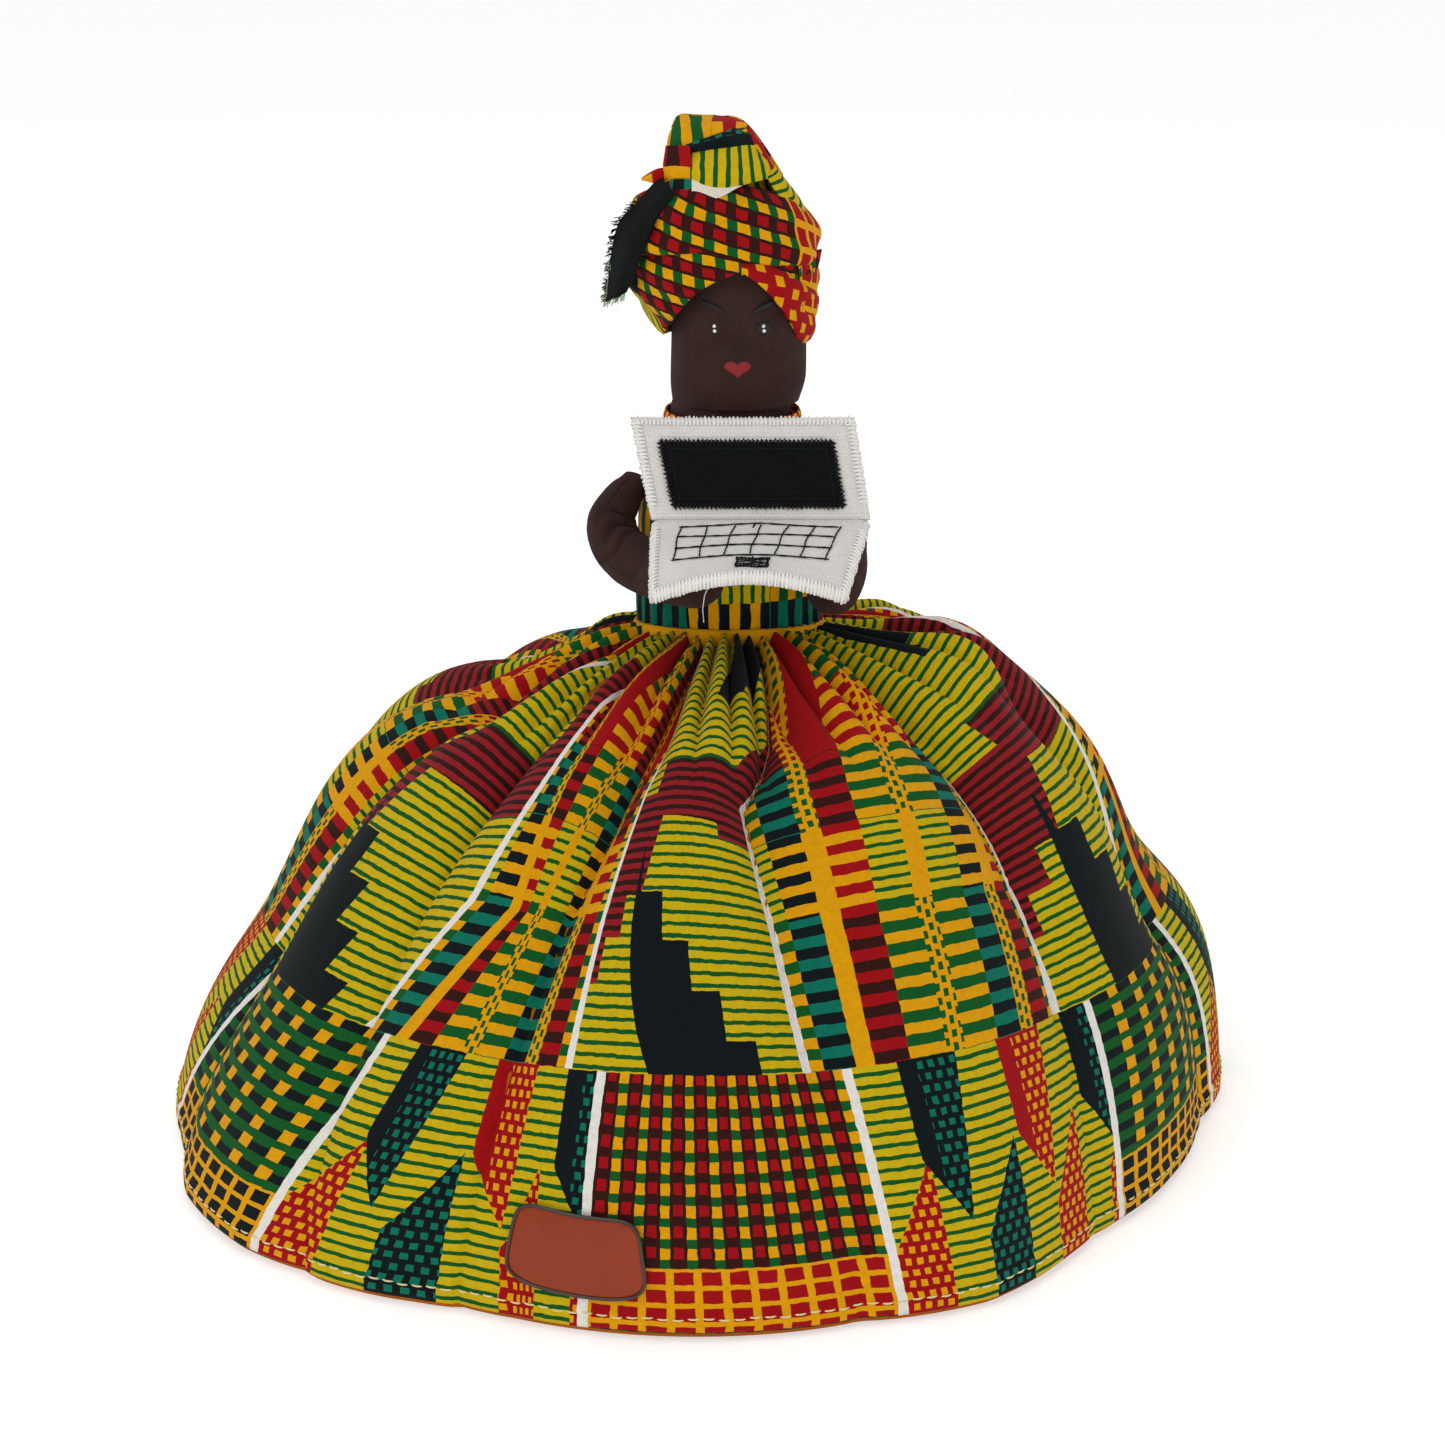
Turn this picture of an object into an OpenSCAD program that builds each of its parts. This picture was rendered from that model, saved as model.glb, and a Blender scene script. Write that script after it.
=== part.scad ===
// Cloth display doll with a full gathered skirt, a tied head wrap and a folding
// cloth laptop tacked to both hands. Millimetres, +Z up, the doll faces -Y.
// The origin is the centre of the skirt's hem, on the surface the doll stands on.

/* [Skirt] */
// Radius of the skirt at its hem
hem_r = 162; // [140:1:195]
// Height the skirt's dome would reach at its middle
dome_h = 148; // [128:1:178]
// Thickness of the skirt cloth
skirt_t = 1.2; // [0.8:0.1:2]
// Depth of the turned hem below its stitching
hem_turn = 5; // [3:0.5:10]
// Thickness of the sewing thread
thread_d = 0.6; // [0.4:0.1:1]

/* [Support under the skirt] */
// Radius of the base board
board_r = 42; // [34:1:60]
// Thickness of the base board
board_t = 3; // [2:0.5:6]
// Height of the sand bag on the base board
ballast_h = 22; // [10:1:40]
// Radius of the stuffed column at its top
column_top_r = 24; // [18:1:26]
// Thickness of the cotton covers on stuffed pieces
cover_t = 0.8; // [0.6:0.1:1.5]
// Thickness of the skirt's lining
lining_t = 0.8; // [0.6:0.1:1.5]
// Thickness of the gathered net petticoat
net_t = 0.8; // [0.6:0.1:1.5]
// How far the petticoat's hem stays above the floor
net_up = 7; // [4:0.5:15]

/* [Body] */
// Sideways offset of the body from the middle of the skirt
body_x = 7; // [0:0.5:8]
// Rise of the gathers from the skirt's dome to the waist seam
waist_up = 0.7; // [0.4:0.1:3]
// Radius of the bodice
bodice_r = 27; // [22:0.5:32]
// Thickness of the bodice cloth
bodice_t = 1; // [0.6:0.1:1.5]
// Height of the bodice from the waist seam to the shoulders
bodice_h = 47; // [38:1:58]
// Height of the neck opening above the waist seam
neck_h = 68; // [62:1:82]
// Radius of the neck
neck_r = 18.4; // [15:0.2:20]
// Height of the waistband
waistband_h = 4; // [3:0.5:8]
// Height of the bound neck edge
neckband_h = 4.4; // [3:0.2:7]

/* [Head] */
// Radius of the stuffed head
head_r = 19.5; // [16:0.5:23]
// Height of the head above the neck gap
head_h = 58; // [50:1:70]
// Free height left between body and head so that the head can nod
neck_gap = 3.5; // [3.3:0.1:5]
// Radius of the stuffed neck plug inside the head
plug_r = 11; // [8:0.5:13]
// How far the face is set off to one side
face_x = 2.6; // [0:0.2:4]
// Distance between the middles of the eyes
eye_gap = 13.8; // [10:0.2:18]
// Height of the eyes above the bottom of the head
eye_h = 23; // [19:0.5:28]
// Height of the mouth above the bottom of the head
mouth_h = 11.6; // [8:0.2:14]
// How far stitched features stand proud of the cloth
stitch_t = 0.45; // [0.3:0.05:0.8]

/* [Head wrap] */
// Thickness of the wound cloth
wrap_t = 3; // [2:0.5:5]
// Height of the lower edge of the wrap above the bottom of the head
wrap_h = 20; // [16:1:28]
// Height of the folded top above the crown
top_fold_h = 23; // [12:1:28]
// Width of one wound band
band_w = 15; // [10:1:20]
// Sideways slope of the two wound bands in degrees
band_tilt = 34; // [24:1:38]

/* [Arms] */
// Radius of the forearm
forearm_r = 8; // [6.5:0.5:9]
// Radius of the arm where it is sewn into the shoulder
shoulder_r = 3.2; // [2.5:0.1:4]
// Free space between an arm and the bodice
arm_gap = 0.5; // [0.3:0.1:2]

/* [Laptop] */
// Width of the laptop at its fold
laptop_w = 59.5; // [50:0.5:70]
// Depth of the lower panel
base_len = 26; // [22:0.5:32]
// Height of the lid
lid_len = 28.6; // [24:0.5:34]
// Thickness of a panel
panel_t = 3.2; // [2:0.2:4.4]
// Sideways offset of the laptop from the body
laptop_dx = 8.8; // [0:0.2:10]
// Distance of the fold in front of the bodice
fold_out = 14.6; // [12:0.2:20]
// Height of the fold above the waist seam
fold_h = 44.6; // [40:0.2:50]
// Angle of the open lid above level in degrees
lid_angle = 65; // [62:1:72]
// Fall of the lower panel at its middle in degrees
base_fall = 21; // [15:1:28]
// Extra fall of the lower panel at its two sides in degrees
base_droop = 18; // [0:1:22]
// Width of the screen patch
screen_w = 47.6; // [36:0.2:50]
// Height of the screen patch
screen_h = 18.6; // [14:0.2:21]
// Thickness of the screen patch
screen_t = 0.5; // [0.3:0.1:0.8]

/* [Label] */
// Sideways place of the blank label
label_x = -35; // [-60:1:60]
// Height of the label's lower edge
label_z = 10; // [8:1:30]
// Width of the blank label
label_w = 40; // [24:1:44]
// Height of the blank label
label_h = 22; // [14:1:24]

/* [Hidden] */
$fn = 64;

fit = 0.05;                                   // gap between cloth and what it lies on
brown = "#3b2222";
gold = "#e9ae0b";
olive = "#c3b312";
red = "#b3131b";
coal = "#10191b";
cream = "#f0ece4";

far = 400;                                    // longer than anything on the doll
gather_in = 2;                                // the gathers pass the bodice by this much
gather_r = bodice_r + body_x + gather_in;     // radius of the hole that the gathers fill
waist_z = round(10 * (dome_h * sqrt(1 - pow(gather_r / hem_r, 2)) + waist_up)) / 10;
neck_z = waist_z + neck_h;                    // top of the neck opening
shoulder_z = waist_z + bodice_h;
nod_z = neck_z + neck_gap / 2;                // height of the nod axis
head_z = neck_z + neck_gap;                   // bottom of the head
crown_z = head_z + head_h;
wrap_r = head_r + wrap_t;
column_z = waist_z - 7;                       // top of the column
layer_gap = 0.2;                              // air between two layers of the skirt
net_in = 1;                                   // air between the lining and the net

fold_x = body_x + laptop_dx;                  // middle of the laptop's fold
fold_y = -bodice_r - fold_out;
fold_z = waist_z + fold_h;
lean_in = 5;                                  // the lid's top leans this far to the right arm
base_in = 3.7;                                // so does the front edge of the lower panel
base_pull = 0.11;                             // share by which the front edge is drawn in

shoulder_y = -6;
shoulder_pin_z = shoulder_z - 1;

// ---------- shared shapes ----------

// quarter ellipse from the hem up to where its radius is r_top
function dome(rx, rz, r_top, steps, z0 = 0) = [
    for (i = [0:steps])
        let (a0 = asin(z0 / rz), a = a0 + (acos(r_top / rx) - a0) * i / steps)
        [rx * cos(a), rz * sin(a)]
];

function flip(list) = [for (i = [len(list) - 1:-1:0]) list[i]];

// one cloth layer hung over a dome; its upper edge is at radius r_top
module dome_layer(rx, rz, t, r_top, z0 = 0, steps = 18)
    rotate_extrude($fn = 96)
        polygon(concat(dome(rx, rz, r_top, steps, z0), flip(dome(rx - t, rz - t, r_top, steps, z0))));

label_t = 0.5;                                // film and glue
lining_in = skirt_t + layer_gap;
petticoat_in = lining_in + lining_t + net_in;

module on_body() translate([body_x, 0, 0]) children();

module ring(r_out, r_in, h) difference() {
    cylinder(r = r_out, h = h);
    translate([0, 0, -1]) cylinder(r = r_in, h = h + 2);
}

// tube of changing radius along a path of points, closed at both ends
module sweep(path, radii, sides = 14) {
    n = len(path);
    function along(i) = path[min(i + 1, n - 1)] - path[max(i - 1, 0)];
    function unit(v) = v / norm(v);
    rings = [for (i = [0:n - 1])
        let (t = unit(along(i)), a = unit(cross(t, [0, 0, 1])), b = cross(t, a))
        for (k = [0:sides - 1])
            path[i] + radii[i] * (a * cos(360 * k / sides) + b * sin(360 * k / sides))];
    walls = [for (i = [0:n - 2]) for (k = [0:sides - 1])
        let (j = (k + 1) % sides)
        each [[i * sides + k, (i + 1) * sides + k, (i + 1) * sides + j],
              [i * sides + k, (i + 1) * sides + j, i * sides + j]]];
    caps = [[for (k = [0:sides - 1]) k], [for (k = [sides - 1:-1:0]) (n - 1) * sides + k]];
    polyhedron(concat(rings), concat(walls, caps), convexity = 4);
}

// curved sheet between two levels of a surface given by base_point()
module curved_sheet(u0, u1, v0, v1, low, high, nu = 12, nv = 5) {
    cols = nu + 1;
    count = cols * (nv + 1);
    function grid(h) = [for (j = [0:nv]) for (i = [0:nu])
        base_point(u0 + (u1 - u0) * i / nu, v0 + (v1 - v0) * j / nv, h)];
    function quad(a, b, c, d) = [[a, b, c], [a, c, d]];
    top = [for (j = [0:nv - 1]) for (i = [0:nu - 1]) let (p = j * cols + i)
        each quad(p, p + 1, p + cols + 1, p + cols)];
    under = [for (f = top) [f[2] + count, f[1] + count, f[0] + count]];
    near = [for (i = [0:nu - 1]) each quad(i + count, i + 1 + count, i + 1, i)];
    far = [for (i = [0:nu - 1]) let (p = nv * cols + i)
        each quad(p, p + 1, p + 1 + count, p + count)];
    left = [for (j = [0:nv - 1]) let (p = j * cols)
        each quad(p, p + cols, p + cols + count, p + count)];
    right = [for (j = [0:nv - 1]) let (p = j * cols + nu)
        each quad(p + count, p + cols + count, p + cols, p)];
    polyhedron(concat(grid(high), grid(low)),
               concat(top, under, near, far, left, right), convexity = 4);
}

// ---------- support under the skirt ----------

module base_board() color("#b99a6b") on_body() cylinder(r = board_r, h = board_t);

module column_solid(shrink = 0, z0 = board_t, z1 = column_z)
    translate([body_x, 0, z0])
        cylinder(r1 = board_r - 2 - shrink, r2 = column_top_r - shrink, h = z1 - z0);

module column_cover() color("#e8e2d4") difference() {
    column_solid();
    column_solid(cover_t, board_t - 0.01, column_z - cover_t);
}

module ballast_space(grow = 0)
    translate([body_x, 0, board_t + fit])
        cylinder(r = board_r - 8 + grow, h = ballast_h + grow);

module ballast_bag() color("#c9b48a") ballast_space();

module column_filling() color("#f6f4ee") difference() {
    column_solid(cover_t + fit, board_t + fit, column_z - cover_t - fit);
    ballast_space(fit);
}

module petticoat_band() color(cream) difference() {
    translate([0, 0, column_z - 9]) cylinder(r = gather_r - 1, h = 9 - fit);
    column_solid(-fit, 0, column_z);
}

module skirt_lining() color("#c98a12")
    dome_layer(hem_r - lining_in, dome_h - lining_in, lining_t, gather_r, 1);

module petticoat() color("#f3f0ea")
    dome_layer(hem_r - petticoat_in, dome_h - petticoat_in, net_t, gather_r, net_up);

// ---------- skirt ----------

// one quarter of the skirt's cloth; its middle faces the given direction
module skirt_panel(turn) color(olive) intersection() {
    dome_layer(hem_r, dome_h, skirt_t, gather_r);
    rotate(turn) linear_extrude(dome_h)
        polygon([[fit * sqrt(2), 0], [far, far - fit], [far, fit - far]]);
}

module skirt_front() skirt_panel(-90);

module skirt_back() skirt_panel(90);

module skirt_right() skirt_panel(180);

module skirt_left() skirt_panel(0);

// the gathered heading between the bodice and the dome of the skirt
module skirt_gathers() color(gold) difference() {
    translate([0, 0, column_z + fit])
        cylinder(r = gather_r - petticoat_in - net_t, h = waist_z - column_z - fit);
    translate([0, 0, -1]) on_body() cylinder(r = bodice_r - 1.5, h = waist_z + 2);
}

module hem_stitching() color("#efe3b0")
    rotate_extrude($fn = 96)
        translate([hem_r * cos(asin(hem_turn / dome_h)) + thread_d / 2 + fit, hem_turn])
            circle(d = thread_d, $fn = 16);

// blank rounded label, wider at the bottom, stuck on the skirt near the hem
module label() color("#b4471f") intersection() {
    difference() {
        dome_solid(label_t);
        dome_solid(fit);
    }
    translate([label_x, -hem_r / 2, label_z]) rotate([90, 0, 0]) linear_extrude(hem_r)
        label_outline();
}

module dome_solid(grow) rotate_extrude($fn = 96)
    polygon(concat(dome(hem_r + grow, dome_h + grow, gather_r, 20), [[gather_r, 0]]));

module label_outline() {
    corner = 4;
    taper = 1.6;
    hull() for (s = [-1, 1], top = [0, 1])
        translate([s * (label_w / 2 - corner - taper * top), top ? label_h - corner : corner])
            circle(r = corner, $fn = 32);
}

// ---------- body ----------

// outline of the torso in height and radius, shrunk by d
module torso_outline(d) {
    r = bodice_r - d;
    top_r = neck_r - d;
    rise = neck_z - shoulder_z - 6;
    polygon(concat(
        [[0, column_z + 0.5], [r, column_z + 0.5], [r, shoulder_z - 6]],
        [for (a = [10:10:90]) [top_r + (r - top_r) * cos(a), shoulder_z - 6 + (rise + 6) * sin(a)]],
        [[top_r, neck_z - d], [0, neck_z - d]]));
}

module torso_solid(d, z0, z1) intersection() {
    on_body() rotate_extrude() torso_outline(d);
    translate([0, 0, z0]) cylinder(r = far, h = z1 - z0);
}

body_d = bodice_t + fit;                      // the body cover lies inside the bodice
waist_in = 1.6;                               // body is drawn in below the waist seam

module torso_cover() color(brown) difference() {
    torso_solid(body_d + waist_in * 0.5, column_z + fit, neck_z);
    torso_solid(body_d + waist_in * 0.5 + cover_t, column_z + cover_t, neck_z - 1);
    neck_ball(fit);
}

module torso_stuffing() color("#f6f4ee") difference() {
    torso_solid(body_d + waist_in * 0.5 + cover_t + fit, column_z + cover_t + fit, neck_z - 2);
    neck_ball(fit);
}

module bodice() difference() {
    torso_solid(0, waist_z, neck_z - neckband_h);
    torso_solid(bodice_t, 0, neck_z + 5);
}

// everything behind (side 1) or in front (side -1) of the side seams
module half_space(side) translate([-far / 2, side > 0 ? fit : -far - fit, -1]) cube(far);

module bodice_front() color(gold) intersection() { bodice(); half_space(-1); }

module bodice_back() color(gold) intersection() { bodice(); half_space(1); }

module waistband() color(gold) on_body()
    translate([0, 0, waist_z]) ring(bodice_r + 1.2, bodice_r + fit, waistband_h);

module neckband() color(red) on_body()
    translate([0, 0, neck_z - neckband_h + fit]) ring(neck_r + 1, neck_r - 0.8 + fit, neckband_h - fit);

module neck_ball(grow = 0) translate([body_x, 0, nod_z]) sphere(r = plug_r + grow);

module neck_plug() color("#efe9df") intersection() {
    neck_ball();
    translate([0, 0, neck_z - plug_r]) cylinder(r = far, h = 3 * plug_r);
}

// ---------- head ----------

chin = 5;                                     // rounding under the face

module head_solid(d) on_body() rotate_extrude()
    polygon(concat(
        [[0, head_z + d]],
        [for (a = [0:15:90]) [head_r - d - chin + chin * sin(a), head_z + d + chin - chin * cos(a)]],
        [for (a = [0:9:90]) [(head_r - d) * cos(a), crown_z - head_r + (head_r - d) * sin(a)]]));

module head_cup() translate([body_x, 0, nod_z]) sphere(r = plug_r + 0.4);

module head_cover() difference() {
    head_solid(0);
    head_solid(cover_t);
    head_cup();
    on_body() translate([0, 0, head_z - 1]) cylinder(r = plug_r + 1, h = 3);
}

module head_front() color(brown) intersection() { head_cover(); half_space(-1); }

module head_back() color(brown) intersection() { head_cover(); half_space(1); }

module head_stuffing() color("#f6f4ee") difference() {
    head_solid(cover_t + fit);
    head_cup();
}

// anything flat laid on the front of the head, drawn in x and in height above the head's bottom
module on_face(proud = stitch_t) intersection() {
    on_body() translate([0, 0, head_z]) ring(head_r + proud, head_r + fit, crown_z - head_z - head_r);
    translate([body_x + face_x, 0, head_z]) rotate([90, 0, 0]) linear_extrude(60) children();
}

// pointed oval made of two arcs
module lens(w, h) {
    r = (w * w / 4 + h * h / 4) / h;
    intersection() {
        translate([0, h / 2 - r]) circle(r = r);
        translate([0, r - h / 2]) circle(r = r);
    }
}

module eye(side) color(coal) on_face() translate([side * eye_gap / 2, eye_h]) lens(4.6, 2.6);

module right_eye() eye(-1);

module left_eye() eye(1);

module eye_lights() color("white") difference() {
    on_face(stitch_t + 0.25) for (s = [-1, 1]) for (k = [-1, 1])
        translate([s * eye_gap / 2 + k * 0.75, eye_h]) circle(r = 0.45, $fn = 16);
    on_body() translate([0, 0, head_z]) cylinder(r = head_r + stitch_t + fit, h = head_h / 2);
}

// thin arc stroke
module stroke(r, from, to, w) intersection() {
    difference() { circle(r = r); circle(r = r - w); }
    polygon([[0, 0], 2 * r * [cos(from), sin(from)], 2 * r * [cos((from + to) / 2), sin((from + to) / 2)],
             2 * r * [cos(to), sin(to)]]);
}

module brow(side) color(coal) difference() {
    on_face() translate([side * (eye_gap / 2 + 1), eye_h])
        mirror([side > 0 ? 1 : 0, 0]) stroke(6.6, 70, 140, 0.8);
    band_slab(-1, fit);
    band_slab(1, fit);
}

module right_brow() brow(-1);

module left_brow() brow(1);

module lashes() color(coal) on_face() for (s = [-1, 1]) for (k = [0:2])
    translate([s * (eye_gap / 2 + 2.6 + k * 0.5), eye_h + 0.9 - k * 0.9])
        rotate(s > 0 ? 35 - 30 * k : 145 + 30 * k) square([1.6, 0.35]);

module nose_stitches() color(coal) on_face() {
    nose_z = (eye_h + mouth_h) / 2;
    for (s = [-1, 1]) translate([s * 1.6, nose_z]) rotate(-s * 28) square([0.5, 2.4], center = true);
}

module lips() color(red) on_face() translate([0, mouth_h]) {
    for (s = [-1, 1]) translate([s * 1.7, 0.7]) circle(r = 1.9);
    polygon([[-3.4, 0], [0, -3.1], [3.4, 0], [1.7, 1.9], [-1.7, 1.9]]);
}

// ---------- head wrap ----------

band_x = 3;                                   // the bands cross this far to the left
band_lean = 22;                               // they drop towards the nape by this angle

module wrap_shell() difference() {
    on_body() rotate_extrude() polygon(concat(
        [[0, head_z + wrap_h], [wrap_r, head_z + wrap_h]],
        [for (a = [0:9:90]) [wrap_r * cos(a), crown_z - head_r + (wrap_r + 1) * sin(a)]]));
    head_solid(-fit);
}

// tilted slab through the head; side -1 falls towards the right arm, 1 towards the left
module on_band(side) translate([body_x + band_x, 0, head_z + wrap_h + band_w * 1.25])
    rotate([-band_lean, side * band_tilt, 0]) children();

module band_slab(side, grow = 0) on_band(side)
    translate([0, 0, -band_w / 2 - grow]) cylinder(r = far, h = band_w + 2 * grow);

module below_slab(side, grow = 0) on_band(side)
    translate([0, 0, -far - band_w / 2 + grow]) cylinder(r = far, h = far);

// the front part of the head, where the wrap leaves the face open
module face_side() translate([-far / 2, -far - 2, 0]) cube(far);

module wrap_left_band() color(olive) intersection() { wrap_shell(); band_slab(-1); }

module wrap_right_band() color(gold) difference() {
    intersection() { wrap_shell(); band_slab(1); }
    band_slab(-1, fit);
}

module wrap_crown() color(red) difference() {
    wrap_shell();
    band_slab(-1, fit);
    band_slab(1, fit);
    intersection() { below_slab(-1, fit); face_side(); }
    intersection() { below_slab(1, fit); face_side(); }
}

module crown_space() on_body() rotate_extrude() polygon(concat(
    [[0, head_z], [wrap_r + fit, head_z]],
    [for (a = [0:9:90]) [(wrap_r + fit) * cos(a), crown_z - head_r + (wrap_r + 1 + fit) * sin(a)]]));

// Folded pieces of the wrap, as balls under one skin. Each ball has its place sideways and
// in depth as shares of the wrap's radius, its height above the crown and its radius.
top_fold = [
    [-0.58, -0.13, top_fold_h - 4, 3.6], [0.36, 0, top_fold_h - 11, 5],
    [-0.62, -0.09, 3, 3.6], [0.62, 0.04, -5, 4.6]
];
knot = [[-0.13, 0.53, 3, 5], [0.22, 0.58, -1, 5]];
tail = [[-0.76, -0.18, 1, 3], [-1.2, 0, -12, 3.4], [-1.42, 0.18, -28, 2], [-1.11, 0.13, -23, 2]];
tucked_end = [[0.89, -0.22, -20, 4], [1.11, -0.13, -17, 1.4], [0.84, -0.27, -34, 2]];

module folded(balls, grow = 0) hull() for (b = balls)
    translate([body_x + b[0] * wrap_r, b[1] * wrap_r, crown_z + b[2]]) sphere(r = b[3] + grow, $fn = 24);

module wrap_top_fold() color(gold) difference() {
    folded(top_fold);
    crown_space();
}

module wrap_knot() color(red) difference() {
    folded(knot);
    crown_space();
    folded(top_fold, fit);
}

module wrap_tail() color(coal) difference() {
    folded(tail);
    crown_space();
    folded(top_fold, fit);
}

module wrap_end() color(gold) difference() {
    folded(tucked_end);
    crown_space();
}

// ---------- arms ----------

// where the arms leave the bodice, and how far they stand off the body's axis
reach = bodice_r + arm_gap;

// stations from the shoulder to the hand: outward angle from the front, distance off the
// bodice, height above the waist seam, radius as a share of the forearm
right_stations = [
    [-78, shoulder_r, shoulder_pin_z - waist_z, shoulder_r / forearm_r],
    [-74, 6.3, 43.5, 0.76],
    [-69, 8.4, 39, 0.92],
    [-62, 9.4, 33, 1.0],
    [-49, 9.6, 28.6, 1.04],
    [-34, 10.8, 27, 1.02],
    [-21, 15.5, 27.2, 0.98],
    [-10.5, 21.5, 27.8, 0.9],
    [-6, 24.5, 28, 0.62]
];
left_stations = [
    [78, shoulder_r, shoulder_pin_z - waist_z, shoulder_r / forearm_r],
    [74, 6.3, 43.5, 0.76],
    [70, 8.4, 38, 0.9],
    [63, 9.3, 31, 0.98],
    [56, 11, 26, 1.0],
    [48, 14, 23, 0.98],
    [40.5, 18, 21.6, 0.9],
    [37, 21, 21, 0.6]
];

function station_point(s) = let (r = reach + s[1] - arm_gap + 0.2)
    [body_x + r * sin(s[0]), -r * cos(s[0]), waist_z + s[2]];

module arm(stations, shrink)
    sweep([for (s = stations) station_point(s)],
          [for (s = stations) s[3] * forearm_r - shrink]);

// the same arm, pulled in at both ends as well, for what lies inside the cover
module arm_inside(stations, shrink) {
    pts = [for (s = stations) station_point(s)];
    n = len(pts);
    function toward(a, b, d) = a + (b - a) * d / norm(b - a);
    path = [for (i = [0:n - 1]) i == 0 ? toward(pts[0], pts[1], shrink)
        : i == n - 1 ? toward(pts[n - 1], pts[n - 2], shrink) : pts[i]];
    sweep(path, [for (s = stations) s[3] * forearm_r - shrink]);
}

module right_arm_cover() color(brown) difference() {
    arm(right_stations, 0);
    arm_inside(right_stations, cover_t);
}

module right_arm_stuffing() color("#f6f4ee") arm_inside(right_stations, cover_t + 2 * fit);

module left_arm_cover() color(brown) difference() {
    arm(left_stations, 0);
    arm_inside(left_stations, cover_t);
}

module left_arm_stuffing() color("#f6f4ee") arm_inside(left_stations, cover_t + 2 * fit);

// ---------- laptop ----------

// point on the lower panel: u from -1 to 1 across, v from 0 at the fold to 1 at the front
// edge, h above the top face
function base_point(u, v, h) =
    let (fall = base_fall + base_droop * u * u * (0.35 + 0.65 * v))
    [fold_x - base_in * v + u * laptop_w / 2 * (1 - base_pull * v) + h * 0.25 * u * sin(base_droop) * v,
     fold_y - base_len * v * cos(fall) - h * sin(fall),
     fold_z - base_len * v * sin(fall) + h * cos(fall)];

fold_gap = 0.3;                               // the panels stop this far short of the fold line
edging = 1.1;                                 // width of the overlocked edge
edge_gap = 1.6;                               // the overlocked edges begin this far from the fold
v_gap = fold_gap / base_len;
rim_u = 1 + 2 * edging / laptop_w;
rim_v = 1 + edging / base_len;

module laptop_base() color(cream) curved_sheet(-1, 1, v_gap, 1, -panel_t, 0);

module base_edging() color("white") difference() {
    curved_sheet(-rim_u, rim_u, v_gap + edge_gap / base_len, rim_v, -panel_t - 0.2, 0.2);
    curved_sheet(-1 - 0.003, 1 + 0.003, v_gap - 0.05, 1 + 0.004, -panel_t - 1, 1);
}

key_cols = 6;
key_rows = 3;
key_u = 0.76;                                 // half width of the keyboard
key_v0 = 0.13;
key_v1 = 0.62;

module keyboard_stitching() color(coal) {
    line_u = 0.5 / laptop_w;
    line_v = 0.25 / base_len;
    for (j = [0:key_rows]) let (v = key_v0 + (key_v1 - key_v0) * j / key_rows)
        curved_sheet(-key_u, key_u, v - line_v, v + line_v, fit, 0.45, 8, 1);
    for (i = [0:key_cols]) let (u = -key_u + 2 * key_u * i / key_cols)
        curved_sheet(u - line_u, u + line_u, key_v0, key_v1, fit, 0.6, 1, 3);
}

module touchpad() color(coal) {
    for (s = [-1, 1])
        curved_sheet(0.02 + s * 0.09 - 0.08, 0.02 + s * 0.09 + 0.08, 0.71, 0.86, fit, 0.5, 2, 2);
}

// short bar tack in the middle of the fold
module fold_tick() color(coal) curved_sheet(-0.065, -0.045, 0.03, 0.11, fit, 0.5, 1, 1);

// places a drawing in the plane of the lid: x across, y up from the fold, z out of its front
module on_lid(from) translate([fold_x, fold_y, fold_z])
    rotate([lid_angle, 0, 0]) translate([0, 0, from]) children();

// the lid's outline, leaning to one side, grown by g on the free sides
module lid_outline(g) polygon([
    [-laptop_w / 2 - g, fold_gap], [laptop_w / 2 + g, fold_gap],
    [laptop_w / 2 + 0.7 - lean_in + g, lid_len + g], [-laptop_w / 2 - 0.7 - lean_in - g, lid_len + g]]);

module laptop_lid() color(cream) on_lid(-panel_t) linear_extrude(panel_t) lid_outline(0);

module lid_edging() color("white") on_lid(-panel_t - 0.2) linear_extrude(panel_t + 0.4) difference() {
    lid_outline(edging);
    lid_outline(fit);
    translate([-far / 2, fold_gap - 1]) square([far, 1 + edge_gap]);
}

screen_v = 3.6;                               // height of the patch above the fold

module screen_outline(g) {
    slant = lean_in * screen_h / lid_len;
    y0 = screen_v - g;
    y1 = screen_v + screen_h + g;
    w = screen_w / 2 + g;
    polygon([[-w - 0.4, y0], [w - 0.4, y0], [w - 0.4 - slant, y1], [-w - 0.4 - slant, y1]]);
}

module screen_patch() color(coal) on_lid(fit) linear_extrude(screen_t) screen_outline(-1);

module screen_zigzag() color("black") on_lid(fit) linear_extrude(screen_t + 0.2) difference() {
    screen_outline(0);
    screen_outline(-1 + 0.02);
}

tack_h = 2.9;                                 // from the hand up to the laptop

// stitches that hold the right hand to the underside of the laptop
module right_hand_tack() color(cream) {
    hand = station_point(right_stations[7]);
    top = hand[2] + forearm_r * right_stations[7][3];
    for (s = [-1, 1]) translate([hand[0] + s * 2, hand[1], top + fit])
        cylinder(d = thread_d, h = tack_h, $fn = 16);
}

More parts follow.
